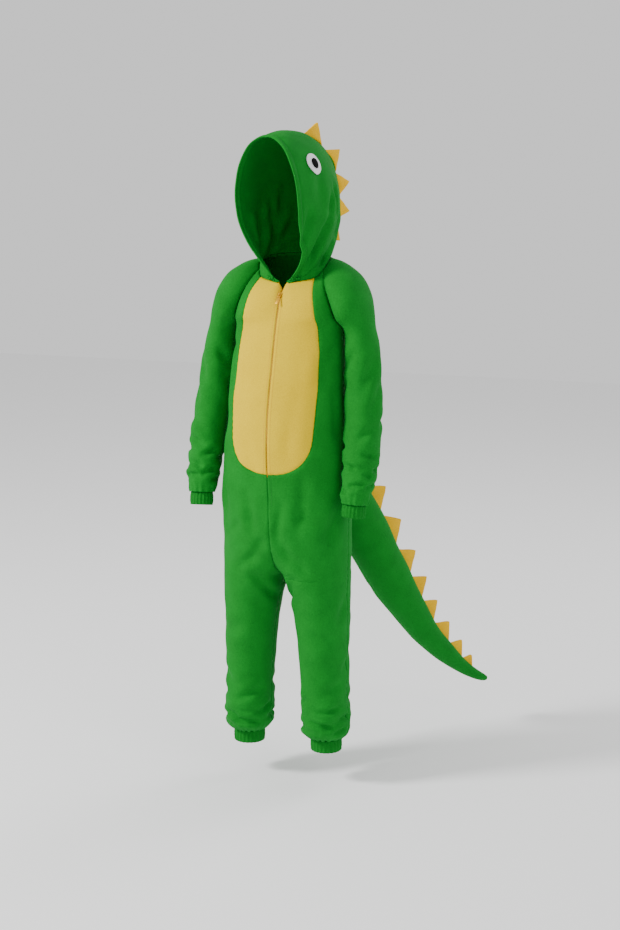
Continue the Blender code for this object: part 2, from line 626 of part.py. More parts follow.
class Garment:
    """All cloth pieces on one surface, so that pieces on both sides of a seam share its points."""

    def __init__(self):
        self.points = {}
        self.normals = {}
        self.pieces = {}
        self.level_ends = {}
        self.set_normals = {}

    def key(self, point):
        name = tuple(round(value * 1e6) for value in point)
        self.points.setdefault(name, in_frame(point))
        return name

    def add(self, name, grid, outward, keep=None):
        faces = self.pieces.setdefault(name, [])
        for i in range(len(grid) - 1):
            for j in range(len(grid[0]) - 1):
                if keep and not keep(i, j):
                    continue
                corners = (grid[i][j], grid[i][j + 1], grid[i + 1][j + 1], grid[i + 1][j])
                face = []
                for corner in corners:
                    key = self.key(corner)
                    if key not in face:
                        face.append(key)
                if len(face) > 2:
                    faces.append(face if outward > 0 else face[::-1])

    def level(self, row, axis):
        """The wall is cut square to axis along this row."""
        for point in row:
            self.level_ends[self.key(point)] = Vector(axis)

    def find_normals(self):
        for faces in self.pieces.values():
            for face in faces:
                corners = [self.points[key] for key in face]
                normal = Vector()
                for n in range(1, len(corners) - 1):
                    normal += (corners[n] - corners[0]).cross(corners[n + 1] - corners[0])
                for key in face:
                    self.normals[key] = self.normals.get(key, Vector()) + normal
        for key, normal in self.normals.items():
            axis = self.level_ends.get(key)
            if axis:
                normal = normal - axis * normal.dot(axis)
            self.normals[key] = self.set_normals.get(key, normal).normalized()

    def edge_moves(self, faces):
        """Where each point on a piece's edge moves, half of the seam gap into the piece."""
        edges = {(face[n - 1], face[n]) for face in faces for n in range(len(face))}
        inward = {}
        border = []
        for face in faces:
            corners = [self.points[key] for key in face]
            normal = (corners[1] - corners[0]).cross(corners[2] - corners[0])
            for n in range(len(face)):
                a = face[n - 1]
                b = face[n]
                if (b, a) not in edges:
                    border.append((a, b))
                    across = normal.cross(self.points[b] - self.points[a]).normalized()
                    inward.setdefault(a, []).append(across)
                    inward.setdefault(b, []).append(across)
        moves = {}
        for key, directions in inward.items():
            first = directions[0]
            last = directions[-1]
            moves[key] = (first + last) * (SEAM_GAP / 2 / max(1 + first.dot(last), 0.5))
        return border, moves

    def build(self, name, colour, thickness=FLEECE, roughness=0.9):
        faces = self.pieces[name]
        border, moves = self.edge_moves(faces)
        mesh = bmesh.new()
        outer = {}
        inner = {}
        for face in faces:
            for key in face:
                if key not in outer:
                    place = self.points[key] + moves.get(key, Vector())
                    outer[key] = mesh.verts.new(place)
                    inner[key] = mesh.verts.new(place - self.normals[key] * thickness)
        for face in faces:
            mesh.faces.new([outer[key] for key in face])
            mesh.faces.new([inner[key] for key in reversed(face)])
        for a, b in border:
            if a < b:
                mesh.faces.new((outer[b], outer[a], inner[b]))
                mesh.faces.new((outer[a], inner[a], inner[b]))
            else:
                mesh.faces.new((outer[b], outer[a], inner[a]))
                mesh.faces.new((outer[b], inner[a], inner[b]))
        return finish_object(name, mesh, colour, roughness)


def material_for(name, colour, roughness, metallic=0.0):
    material = bpy.data.materials.new(name)
    material.use_nodes = True
    shader = material.node_tree.nodes["Principled BSDF"]
    shader.inputs["Base Color"].default_value = (*colour, 1.0)
    shader.inputs["Roughness"].default_value = roughness
    shader.inputs["Metallic"].default_value = metallic
    return material


def face_outwards(mesh):
    bmesh.ops.recalc_face_normals(mesh, faces=mesh.faces)
    if mesh.calc_volume(signed=True) < 0:
        bmesh.ops.reverse_faces(mesh, faces=mesh.faces)


def finish_object(name, mesh, colour, roughness=0.9, metallic=0.0):
    data = bpy.data.meshes.new(name)
    mesh.to_mesh(data)
    mesh.free()
    data.shade_smooth()
    data.set_sharp_from_angle(angle=math.radians(40))
    data.materials.append(material_for(name, colour, roughness, metallic))
    item = bpy.data.objects.new(name, data)
    bpy.context.scene.collection.objects.link(item)
    return item


def build_cloth():
    """Fronts, belly panel, backs, sleeves and hood."""
    garment = Garment()
    belly_start = len(LEG_HEIGHTS) + len(SEAT_HEIGHTS)
    for word, side in SIDES.items():
        front = front_grid(side)
        back = back_grid(side)
        sleeve = sleeve_grid(side)
        garment.add("belly_" + word, front, side, lambda i, j: i >= belly_start and j < BELLY_COLUMNS)
        garment.add("front_" + word, front, side, lambda i, j: i < belly_start or j >= BELLY_COLUMNS)
        garment.add("back_" + word, back, -side)
        garment.add("sleeve_" + word, sleeve, side)
        neck = front[-1][1:] + sleeve[-1][1:] + back[-1][-2::-1]
        garment.add("hood_" + word, hood_grid(side, neck), side)
        garment.level([row[0] for row in front if row[0].z > ZIP_BOTTOM - SEAM_GAP], (1, 0, 0))
        garment.level([front[-1][1]], (1, 0, 0))
        garment.set_normals[garment.key(raglan_point(FRONT_RAGLAN, side, 0.0))] = Vector((0, 0, -1))
        garment.level(front[0], (0, 0, 1))
        garment.level(back[0], (0, 0, 1))
        garment.level(sleeve[0], arm_frame(side, SLEEVE_HEIGHTS[0])[3])
    for side in SIDES.values():
        garment.set_normals[garment.key(hood_seam_start(side))] = Vector((0, -0.8, 0.6))
    garment.find_normals()
    for name in garment.pieces:
        garment.build(name, YELLOW if name.startswith("belly") else GREEN)
    build_zip(garment)


def ribbed_cuff(name, top, outward, forward, down, radius, length, ribs):
    """A shirred elastic band: ribs round the outside, plain inside, waisted top and bottom."""
    mesh = bmesh.new()
    stations = ((0.0, -0.0006), (0.5, 0.0008), (1.0, -0.0004))
    columns = 2 * ribs
    outer = []
    inner = []
    for share, swell in stations:
        middle = top + down * length * share
        outer_row = []
        inner_row = []
        for k in range(columns):
            turn = 2 * math.pi * k / columns
            direction = outward * math.cos(turn) + forward * math.sin(turn)
            rib = RIB_HEIGHT if k % 2 == 0 else 0.0
            outer_row.append(mesh.verts.new(middle + direction * (radius + swell + rib - RIB_HEIGHT)))
            inner_radius = radius + swell - CUFF_THICKNESS - RIB_HEIGHT
            inner_row.append(mesh.verts.new(middle + direction * inner_radius))
        outer.append(outer_row)
        inner.append(inner_row)
    last = len(stations) - 1
    for k in range(columns):
        n = (k + 1) % columns
        for i in range(last):
            mesh.faces.new((outer[i][k], outer[i][n], outer[i + 1][n], outer[i + 1][k]))
            mesh.faces.new((inner[i][n], inner[i][k], inner[i + 1][k], inner[i + 1][n]))
        mesh.faces.new((outer[0][n], outer[0][k], inner[0][k], inner[0][n]))
        mesh.faces.new((outer[last][k], outer[last][n], inner[last][n], inner[last][k]))
    face_outwards(mesh)
    finish_object(name, mesh, GREEN)


def build_cuffs():
    for word, side in SIDES.items():
        centre, outward, forward, rise = arm_frame(side, SLEEVE_HEIGHTS[0])[:4]
        top = in_frame(centre) - rise * SEAM_GAP
        ribbed_cuff("wrist_cuff_" + word, top, outward, forward, -rise, WRIST_CUFF_RADIUS,
                    WRIST_CUFF_LENGTH, WRIST_RIBS)
        centre_x = BODY_SECTIONS[0][1]
        top = in_frame(Vector((side * centre_x, 0, ANKLE_HEM - SEAM_GAP / 2)))
        ribbed_cuff("ankle_cuff_" + word, top, Vector((1, 0, 0)), Vector((0, -1, 0)), Vector((0, 0, -1)),
                    ANKLE_CUFF_RADIUS, ANKLE_CUFF_LENGTH, ANKLE_RIBS)


def build_zip(garment):
    """The closed zip: one strip of two tapes behind the fronts, its chain raised in the gap."""
    tape_half_width = 0.012
    tape_thickness = 0.0008
    tape_gap = 0.0012
    chain_half_width = 0.0008
    chain_inset = 0.0004
    fronts = {}
    for side in (-1, 1):
        fronts[side] = [row for row in front_grid(side) if row[0].z > ZIP_BOTTOM - SEAM_GAP]
    mesh = bmesh.new()
    rows = []
    for left_row, right_row in zip(fronts[1], fronts[-1]):
        edges = {}
        for side, (start, beside) in ((1, left_row[:2]), (-1, right_row[:2])):
            share = min(tape_half_width / (beside - start).length, 1.0)
            start_normal = garment.normals[garment.key(start)]
            beside_normal = garment.normals[garment.key(beside)]
            for level, depth in (("face", FLEECE + tape_gap), ("back", FLEECE + tape_gap + tape_thickness)):
                a = in_frame(start) - start_normal * depth
                b = in_frame(beside) - beside_normal * depth
                edges[side, level] = a.lerp(b, share)
        centre = in_frame(Vector((0, left_row[0].y, left_row[0].z)))
        normal = garment.normals[garment.key(left_row[0])].copy()
        normal.x = 0
        normal.normalize()
        face = centre - normal * (FLEECE + tape_gap)
        back = face - normal * tape_thickness
        top = centre - normal * chain_inset
        half = Vector((chain_half_width, 0, 0))
        row = (edges[-1, "back"], back, edges[1, "back"], edges[1, "face"], face + half,
               top + half, top - half, face - half, edges[-1, "face"])
        rows.append([mesh.verts.new(place) for place in row])
    count = len(rows[0])
    for lower, upper in zip(rows, rows[1:]):
        for k in range(count):
            n = (k + 1) % count
            mesh.faces.new((lower[k], lower[n], upper[n], upper[k]))
    mesh.faces.new(rows[0][::-1])
    mesh.faces.new(rows[-1])
    face_outwards(mesh)
    finish_object("zip", mesh, OCHRE, 0.6)


def slider_place():
    """Turns the slider's own axes (right, outward, up the zip) into the costume's frame."""
    front = [along(FRONT_CENTRE, n / 60) for n in range(61)]
    index = min(range(1, 60), key=lambda n: abs(front[n].z - SLIDER_HEIGHT))
    rise = (front[index + 1] - front[index - 1]).normalized()
    outward = Vector((0, -rise.z, rise.y)).normalized()
    across = Vector((1, 0, 0))
    place = in_frame(Vector((0, front[index].y, front[index].z)))
    turn = Matrix((across, outward, rise)).transposed().to_4x4()
    return Matrix.Translation(place) @ turn


def plate(outline, thickness, hole=None):
    """A flat plate in the plane of the slider's right and up axes, with an optional eye."""
    mesh = bmesh.new()
    levels = []
    for depth in (-thickness / 2, thickness / 2):
        outer = [mesh.verts.new((x, depth, z)) for x, z in outline]
        inner = [mesh.verts.new((x, depth, z)) for x, z in hole] if hole else []
        levels.append((outer, inner))
    count = len(outline)
    for n in range(count):
        m = (n + 1) % count
        mesh.faces.new((levels[0][0][n], levels[0][0][m], levels[1][0][m], levels[1][0][n]))
        if hole:
            mesh.faces.new((levels[0][1][m], levels[0][1][n], levels[1][1][n], levels[1][1][m]))
            for outer, inner in levels:
                mesh.faces.new((outer[n], outer[m], inner[m], inner[n]))
    if not hole:
        for outer, inner in levels:
            mesh.faces.new(outer)
    face_outwards(mesh)
    return mesh


def rounded_outline(half_width, top, bottom, radius, steps):
    """Corner points of an upright rounded rectangle, anticlockwise."""
    points = []
    corners = (
        (half_width, top, 0),
        (-half_width, top, 90),
        (-half_width, bottom, 180),
        (half_width, bottom, 270),
    )
    for x, z, start in corners:
        cx = x - math.copysign(radius, x)
        cz = z - radius if z == top else z + radius
        for n in range(steps + 1):
            turn = math.radians(start + 90 * n / steps)
            points.append((cx + radius * math.cos(turn), cz + radius * math.sin(turn)))
    return points


PIVOT_OUT = SLIDER_STANDOFF + 0.0037
PIVOT_UP = -0.0012


def build_slider():
    """Slider body with an arched bridge on its face, and the pull tab hung under the bridge."""
    place = slider_place()
    body_thickness = 0.0022
    body_face = SLIDER_STANDOFF + body_thickness
    bridge_half_width = 0.0008
    bridge_top = body_face + 0.0036
    mesh = bmesh.new()
    outline = rounded_outline(0.0038, 0.0052, -0.0050, 0.0018, 2)
    back = [mesh.verts.new((x, SLIDER_STANDOFF, z)) for x, z in outline]
    front = [mesh.verts.new((x, body_face, z)) for x, z in outline]
    count = len(outline)
    for n in range(count):
        m = (n + 1) % count
        mesh.faces.new((back[n], back[m], front[m], front[n]))
    mesh.faces.new(back)
    # The bridge's feet are a strip of the face, so the bridge grows out of the body as one piece
    feet = (-0.0040, -0.0028, 0.0018, 0.0030)
    bridge_heights = (bridge_top - 0.0010, bridge_top, bridge_top, bridge_top - 0.0010)
    arch = list(zip(feet, bridge_heights))
    under = bridge_top - 0.0011
    left = []
    right = []
    for x, store in ((-bridge_half_width, left), (bridge_half_width, right)):
        base = [mesh.verts.new((x, body_face, z)) for z in feet]
        crown = [mesh.verts.new((x, y, z)) for z, y in arch]
        window = [mesh.verts.new((x, under, feet[1])), mesh.verts.new((x, under, feet[2]))]
        store.extend((base, crown, window))
    for base, crown, window in (left, right):
        mesh.faces.new((base[0], base[1], window[0], crown[1], crown[0]))
        mesh.faces.new((window[0], window[1], crown[2], crown[1]))
        mesh.faces.new((window[1], base[2], base[3], crown[3], crown[2]))
    for a, b in ((0, 1), (1, 2), (2, 3)):
        mesh.faces.new((left[1][a], left[1][b], right[1][b], right[1][a]))
    mesh.faces.new((left[0][0], left[1][0], right[1][0], right[0][0]))
    mesh.faces.new((left[0][3], left[1][3], right[1][3], right[0][3]))
    mesh.faces.new((left[0][1], left[2][0], right[2][0], right[0][1]))
    mesh.faces.new((left[2][0], left[2][1], right[2][1], right[2][0]))
    mesh.faces.new((left[2][1], left[0][2], right[0][2], right[2][1]))
    mesh.faces.new((left[0][1], left[0][2], right[0][2], right[0][1]))
    # The body's face round the bridge's feet: everything but the two footprints
    right_side = sorted((v for v in front if v.co.x > 0), key=lambda v: v.co.z)
    left_side = sorted((v for v in front if v.co.x <= 0), key=lambda v: v.co.z)
    mesh.faces.new(right_side + [right[0][3], right[0][2], right[0][1], right[0][0]])
    mesh.faces.new(left_side[::-1] + [left[0][0], left[0][1], left[0][2], left[0][3]])
    mesh.faces.new((left_side[-1], left[0][3], right[0][3], right_side[-1]))
    mesh.faces.new((right_side[0], right[0][0], left[0][0], left_side[0]))
    mesh.transform(place)
    face_outwards(mesh)
    finish_object("zip_slider", mesh, OCHRE, 0.35, 0.6)

    eye_half_width = 0.0016
    eye_length = 0.0058
    bar = 0.0006
    outline = rounded_outline(PULL_WIDTH / 2, bar, -PULL_LENGTH, 0.0014, 2)
    hole = rounded_outline(eye_half_width, -bar, -eye_length, 0.0004, 2)
    mesh = plate(outline, PULL_THICKNESS, hole)
    mesh.transform(place @ Matrix.Translation((0, PIVOT_OUT, PIVOT_UP)))
    face_outwards(mesh)
    finish_object("zip_pull", mesh, OCHRE, 0.35, 0.6)


def hood_surface(side, row, fraction):
    point = hood_arc(row, [fraction])[0]
    point.x *= side
    return hood_turned(point)


def disc_on_hood(name, side, radius, base, thickness, rings, steps, colour, roughness):
    """A round domed patch that follows the hood: base is how far its back stands off it."""
    step = 0.01
    middle = hood_surface(side, EYE_ROW, EYE_FRACTION)
    by_row = (hood_surface(side, EYE_ROW + step, EYE_FRACTION) - middle) / step
    by_fraction = (hood_surface(side, EYE_ROW, EYE_FRACTION + step) - middle) / step
    normal = side * by_fraction.cross(by_row).normalized()
    up = by_fraction.normalized()
    across = normal.cross(up)
    mesh = bmesh.new()
    levels = []
    for offset, dome in ((base, 0.0), (base + thickness, 0.0006)):
        ring_rows = []
        for ring in range(rings + 1):
            reach = radius * ring / rings
            row_points = []
            for n in range(steps if ring else 1):
                turn = 2 * math.pi * n / steps
                move = across * reach * math.cos(turn) + up * reach * math.sin(turn)
                # Distances along the cloth turned into steps of row and fraction
                a = by_row.dot(by_row)
                b = by_row.dot(by_fraction)
                c = by_fraction.dot(by_fraction)
                p = move.dot(by_row)
                q = move.dot(by_fraction)
                bottom = a * c - b * b
                row = EYE_ROW + (p * c - q * b) / bottom
                fraction = EYE_FRACTION + (q * a - p * b) / bottom
                spot = hood_surface(side, row, fraction)
                du = hood_surface(side, row + step, fraction) - spot
                dc = hood_surface(side, row, fraction + step) - spot
                out = side * dc.cross(du).normalized()
                height = offset + dome * (1 - (ring / rings) ** 2)
                row_points.append(mesh.verts.new(in_frame(spot) + out * height))
            ring_rows.append(row_points)
        levels.append(ring_rows)
    for ring_rows in levels:
        for n in range(steps):
            m = (n + 1) % steps
            mesh.faces.new((ring_rows[0][0], ring_rows[1][n], ring_rows[1][m]))
            for ring in range(1, rings):
                mesh.faces.new((ring_rows[ring][n], ring_rows[ring + 1][n],
                                ring_rows[ring + 1][m], ring_rows[ring][m]))
    for n in range(steps):
        m = (n + 1) % steps
        mesh.faces.new((levels[0][rings][n], levels[0][rings][m], levels[1][rings][m], levels[1][rings][n]))
    face_outwards(mesh)
    finish_object(name, mesh, colour, roughness)


def build_eyes():
    white_thickness = 0.0016
    for word, side in SIDES.items():
        disc_on_hood("eye_white_" + word, side, EYE_RADIUS, 0.0006, white_thickness, 2, 20, WHITE, 0.7)
        disc_on_hood("eye_pupil_" + word, side, PUPIL_RADIUS, 0.0006 + white_thickness + 0.0009, 0.0012,
                     1, 14, BLACK, 0.4)


def tail_direction():
    return Vector((math.sin(TAIL_TURN), math.cos(TAIL_TURN), 0.0))


def tail_centre(fraction):
    """Centre and radius at a fraction of the way along the tail."""
    rows = [(share, *station) for share, station in zip(tail_station_shares(), TAIL_STATIONS)]
    out, height, radius = read_table(rows, fraction)
    return Vector((0, TAIL_ROOT_Y, height)) + tail_direction() * out, radius


def tail_frame(fraction):
    step = 0.01
    ahead = tail_centre(min(fraction + step, 1.0))[0]
    behind = tail_centre(max(fraction - step, 0.0))[0]
    forward = (ahead - behind).normalized()
    across = tail_direction().cross(Vector((0, 0, 1))).normalized()
    top = across.cross(forward).normalized()
    return forward, across, top if top.z > 0 else -top


def tail_station_shares():
    return shares([Vector((out, height, 0.0)) for out, height, _ in TAIL_STATIONS])


def tail_top(fraction):
    """A point of the tail's upper edge, which is straight between the stations."""
    stations = tail_station_shares()
    index = next(i for i in range(len(stations) - 1) if fraction <= stations[i + 1])
    ends = []
    for station in stations[index:index + 2]:
        centre, radius = tail_centre(station)
        ends.append(centre + tail_frame(station)[2] * radius)
    return ends[0].lerp(ends[1], (fraction - stations[index]) / (stations[index + 1] - stations[index]))


def seat_surface(x, height):
    """How far back the seat's outer face is at x."""
    centre, half_width, _, back = read_table(BODY_SECTIONS, height)
    share = min(max((abs(x) - centre) / half_width, -1.0), 1.0)
    return back * math.sqrt(1 - share * share)


def build_tail():
    """A stuffed, tapered tube whose root lies on the seat."""
    mesh = bmesh.new()
    root_rings = []
    for share in (0.5, 1.0):
        ring = []
        for k in range(TAIL_SIDES):
            turn = 2 * math.pi * k / TAIL_SIDES
            x = TAIL_ROOT_HALF_WIDTH * math.sin(turn) * share
            height = TAIL_ROOT_HEIGHT + TAIL_ROOT_HALF_HEIGHT * math.cos(turn) * share
            y = seat_surface(x, height) + TAIL_SEAT_GAP
            ring.append(mesh.verts.new(in_frame(Vector((x, y, height)))))
        root_rings.append(ring)
    y = seat_surface(0.0, TAIL_ROOT_HEIGHT) + TAIL_SEAT_GAP
    hub = mesh.verts.new(in_frame(Vector((0, y, TAIL_ROOT_HEIGHT))))
    rings = [root_rings[1]]
    for fraction in tail_station_shares():
        centre, radius = tail_centre(fraction)
        _, across, top = tail_frame(fraction)
        ring = []
        for k in range(TAIL_SIDES):
            turn = 2 * math.pi * k / TAIL_SIDES
            place = centre + (top * math.cos(turn) + across * math.sin(turn)) * radius
            ring.append(mesh.verts.new(in_frame(place)))
        rings.append(ring)
    centre, radius = tail_centre(1.0)
    tip = mesh.verts.new(in_frame(centre + tail_frame(1.0)[0] * radius * 0.8))
    for k in range(TAIL_SIDES):
        n = (k + 1) % TAIL_SIDES
        mesh.faces.new((hub, root_rings[0][k], root_rings[0][n]))
        mesh.faces.new((root_rings[0][k], root_rings[1][k], root_rings[1][n], root_rings[0][n]))
        for lower, upper in zip(rings, rings[1:]):
            mesh.faces.new((lower[k], lower[n], upper[n], upper[k]))
        mesh.faces.new((rings[-1][k], rings[-1][n], tip))
    face_outwards(mesh)
    finish_object("tail", mesh, GREEN)


def build_spike(name, base, tips, across):
    """A padded three-cornered spike on a line of base points, pointing to its rounded tip."""
    start = base[0]
    end = base[-1]
    tip = sum(tips, Vector()) / len(tips)
    rim = list(base)
    round_share = 0.16
    rim.append(end.lerp(tip, 0.5))
    rim.append(end.lerp(tip, 1 - round_share))
    rim.append(tip + (tip - (start + end) / 2).normalized() * -0.0015)
    rim.append(start.lerp(tip, 1 - round_share))
    rim.append(start.lerp(tip, 0.5))
    centre = (start + end + tip) / 3
    mesh = bmesh.new()
    edge_half = SPIKE_THICKNESS * 0.28
    body_half = SPIKE_THICKNESS * 0.5
    faces = []
    for sign in (1, -1):
        edge = [mesh.verts.new(point + across * edge_half * sign) for point in rim]
        middle = [mesh.verts.new(point.lerp(centre, 0.34) + across * body_half * sign) for point in rim]
        hub = mesh.verts.new(centre + across * body_half * 1.1 * sign)
        faces.append((edge, middle, hub))
    count = len(rim)
    for edge, middle, hub in faces:
        for n in range(count):
            m = (n + 1) % count
            mesh.faces.new((edge[n], edge[m], middle[m], middle[n]))
            mesh.faces.new((middle[n], middle[m], hub))
    for n in range(count):
        m = (n + 1) % count
        mesh.faces.new((faces[0][0][n], faces[0][0][m], faces[1][0][m], faces[1][0][n]))
    face_outwards(mesh)
    finish_object(name, mesh, GOLD, 0.9)


def build_spikes():
    for number, (first, last, height) in enumerate(HOOD_SPIKES, 1):
        base = []
        for row in sorted([first, last] + [row for row in HOOD_ROWS if first < row < last]):
            rise = (hood_seam(row + 0.004) - hood_seam(row - 0.004)).normalized()
            out = Matrix.Rotation(HOOD_TURN, 3, "Z") @ Vector((0, rise.z, -rise.y))
            base.append(seam_spot(row) + out * SEAT_GAP * 1.5)
        chord = base[-1] - base[0]
        across = Matrix.Rotation(HOOD_TURN, 3, "Z") @ Vector((1, 0, 0))
        out = chord.cross(across).normalized()
        middle = (base[0] + base[-1]) / 2
        if out.dot(middle - in_frame(Vector((0, 0.03, 1.12)))) < 0:
            out = -out
        build_spike("hood_spike_%d" % number, base, [middle + out * height], across)
    for number, (first, last, height) in enumerate(TAIL_SPIKES, 1):
        base = []
        for n in range(4):
            fraction = first + (last - first) * n / 3
            base.append(in_frame(tail_top(fraction) + tail_frame(fraction)[2] * SEAT_GAP * 1.5))
        middle = (base[0] + base[-1]) / 2
        forward, across, top = tail_frame((first + last) / 2)
        tip = middle + top * height - forward * height * 0.05
        build_spike("tail_spike_%d" % number, base, [tip], across)


def clear_scene():
    for item in list(bpy.data.objects):
        bpy.data.objects.remove(item, do_unlink=True)


clear_scene()
build_cloth()
build_cuffs()
build_slider()
build_eyes()
build_tail()
build_spikes()
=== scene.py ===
import math

import bmesh
import bpy
import numpy as np
from mathutils import Matrix, Vector
from mathutils.bvhtree import BVHTree
from mathutils.kdtree import KDTree


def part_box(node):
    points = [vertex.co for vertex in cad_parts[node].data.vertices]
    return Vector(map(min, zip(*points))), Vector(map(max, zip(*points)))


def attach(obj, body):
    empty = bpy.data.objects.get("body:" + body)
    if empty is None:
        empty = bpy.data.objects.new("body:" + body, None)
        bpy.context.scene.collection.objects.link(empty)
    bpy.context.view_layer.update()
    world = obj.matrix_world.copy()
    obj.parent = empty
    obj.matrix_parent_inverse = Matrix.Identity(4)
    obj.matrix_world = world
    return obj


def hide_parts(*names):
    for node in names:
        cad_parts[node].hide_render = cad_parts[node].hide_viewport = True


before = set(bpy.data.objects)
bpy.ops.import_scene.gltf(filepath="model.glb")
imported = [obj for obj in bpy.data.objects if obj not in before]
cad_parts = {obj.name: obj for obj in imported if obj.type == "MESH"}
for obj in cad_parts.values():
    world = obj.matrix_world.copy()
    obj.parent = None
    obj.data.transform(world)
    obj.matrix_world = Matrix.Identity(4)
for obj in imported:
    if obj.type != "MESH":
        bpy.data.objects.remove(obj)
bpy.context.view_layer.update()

# The green body: two fronts and two backs, one leg each, cut from short-napped polyester fleece.
# They are sewn together down the sides, the inside legs and the centre back, with the seams turned
# to the inside. All the panels of the suit share their seams, so their meshes are taken up together.
FLOOR_BELOW_SHOULDERS = 1.000
WALL = 0.0025
WELD_REACH = 0.00002
WALL_TOLERANCE = 0.00001
SEAM_REACH = 0.0007
SEAM_MEETING = 0.0006
PANEL_BEND = 60
JOINED_SKEW = 80
CORNER_TURN = 140
SHEET_LEVEL = 3
ROUNDING_PASSES = 3
CALMING_PASSES = 10
PANELS = ("front_left", "front_right", "back_left", "back_right", "belly_left", "belly_right",
          "sleeve_left", "sleeve_right", "hood_left", "hood_right")


def packed_mesh(node):
    """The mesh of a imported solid, with its doubled points welded."""
    mesh = bmesh.new()
    mesh.from_mesh(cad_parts[node].data)
    bmesh.ops.remove_doubles(mesh, verts=mesh.verts, dist=WELD_REACH)
    return mesh


def join_faces(mesh, bend):
    """Joins the triangles into four-sided faces where they bend less than this many degrees."""
    bmesh.ops.join_triangles(mesh, faces=mesh.faces, angle_face_threshold=math.radians(bend),
                             angle_shape_threshold=math.radians(JOINED_SKEW))


def new_piece(name, mesh):
    """An object made of the mesh, which is used up."""
    data = bpy.data.meshes.new(name)
    mesh.to_mesh(data)
    mesh.free()
    obj = bpy.data.objects.new(name, data)
    bpy.context.scene.collection.objects.link(obj)
    return obj


def read_points(obj):
    """The object's points and their normals."""
    count = len(obj.data.vertices)
    points = np.empty(count * 3)
    obj.data.vertices.foreach_get("co", points)
    normals = np.empty(count * 3)
    obj.data.vertices.foreach_get("normal", normals)
    return points.reshape(count, 3), normals.reshape(count, 3)


def shift_points(obj, moved):
    """Puts the object's points in new places."""
    obj.data.vertices.foreach_set("co", moved.ravel())
    obj.data.update()


def tree_of(places):
    """A search tree of places, each under its number in the list."""
    tree = KDTree(len(places))
    for number, place in enumerate(places):
        tree.insert(place, number)
    tree.balance()
    return tree


def outer_sheet(node):
    """The outer face of a packed panel, without its inner face and its cut edges."""
    mesh = packed_mesh(node)
    across_wall = [edge for edge in mesh.edges if abs(edge.calc_length() - WALL) < WALL_TOLERANCE]
    rim = {face for edge in across_wall for face in edge.link_faces}
    bmesh.ops.delete(mesh, geom=list(rim), context="FACES_ONLY")
    loose = [edge for edge in mesh.edges if not edge.link_faces]
    bmesh.ops.delete(mesh, geom=loose, context="EDGES")
    sides = []
    left = set(mesh.faces)
    while left:
        queue = [left.pop()]
        side = []
        while queue:
            face = queue.pop()
            side.append(face)
            for edge in face.edges:
                for other in edge.link_faces:
                    if other in left:
                        left.remove(other)
                        queue.append(other)
        sides.append(side)
    sides.sort(key=lambda faces: sum(face.calc_area() for face in faces))
    inner = [face for side in sides[:-1] for face in side]
    bmesh.ops.delete(mesh, geom=inner, context="FACES")
    join_faces(mesh, PANEL_BEND)
    return mesh


def close_seams(sheets):
    """Brings the cut edges of neighbouring panels together on the seam line between them."""
    border = [vert for mesh in sheets.values() for vert in mesh.verts if vert.is_boundary]
    tree = tree_of([vert.co for vert in border])
    places = []
    for vert in border:
        found = [border[number] for _, number, _ in tree.find_range(vert.co, SEAM_REACH)]
        places.append(sum((other.co for other in found), Vector()) / len(found))
    for vert, place in zip(border, places):
        vert.co = place
    return {round_place(place) for place in corners(sheets)}


def round_place(place):
    """The place to a tenth of a millimetre, to compare it by."""
    return tuple(round(value, 4) for value in place)


def corners(sheets):
    """Where a cut edge turns sharply, which is where three or more panels meet or a hem starts."""
    for mesh in sheets.values():
        for vert in mesh.verts:
            edges = [edge for edge in vert.link_edges if edge.is_boundary]
            if len(edges) == 2:
                a, b = [edge.other_vert(vert).co - vert.co for edge in edges]
                if a.angle(b) < math.radians(CORNER_TURN):
                    yield vert.co


def fine_sheet(name, mesh, pinned, level):
    """The sheet subdivided to a few millimetres, its cut edges held on the seam lines."""
    edge_crease = mesh.edges.layers.float.new("crease_edge")
    vert_crease = mesh.verts.layers.float.new("crease_vert")
    for edge in mesh.edges:
        if edge.is_boundary:
            edge[edge_crease] = 1.0
    for vert in mesh.verts:
        if vert.is_boundary and round_place(vert.co) in pinned:
            vert[vert_crease] = 1.0
    obj = rounded(new_piece(name, mesh), level)
    calm = bmesh.new()
    calm.from_mesh(obj.data)
    inside = [vert for vert in calm.verts if not vert.is_boundary]
    for _ in range(CALMING_PASSES):
        bmesh.ops.smooth_vert(calm, verts=inside, factor=0.5,
                              use_axis_x=True, use_axis_y=True, use_axis_z=True)
    calm.to_mesh(obj.data)
    calm.free()
    return obj


def rounded(obj, level, passes=ROUNDING_PASSES):
    """Subdivides the mesh into a smooth one. The passes move it back out to each of its first points."""
    smooth = obj.modifiers.new("smooth", "SUBSURF")
    smooth.levels = smooth.render_levels = level
    count = len(obj.data.vertices)
    goal = read_points(obj)[0]
    guide = goal.copy()
    for _ in range(passes):
        bpy.context.view_layer.update()
        seen = obj.evaluated_get(bpy.context.evaluated_depsgraph_get())
        reached = np.empty(len(seen.data.vertices) * 3)
        seen.data.vertices.foreach_get("co", reached)
        guide += goal - reached.reshape(-1, 3)[:count]
        shift_points(obj, guide)
    bpy.context.view_layer.update()
    finished = bpy.data.meshes.new_from_object(obj.evaluated_get(bpy.context.evaluated_depsgraph_get()))
    obj.modifiers.clear()
    obj.data = finished
    return obj


coarse = {node: outer_sheet(node) for node in PANELS}
packed_skin = {node: BVHTree.FromBMesh(mesh) for node, mesh in coarse.items()}
pinned_corners = close_seams(coarse)
sheets = {node: fine_sheet("cloth_" + node, coarse[node], pinned_corners, SHEET_LEVEL) for node in PANELS}


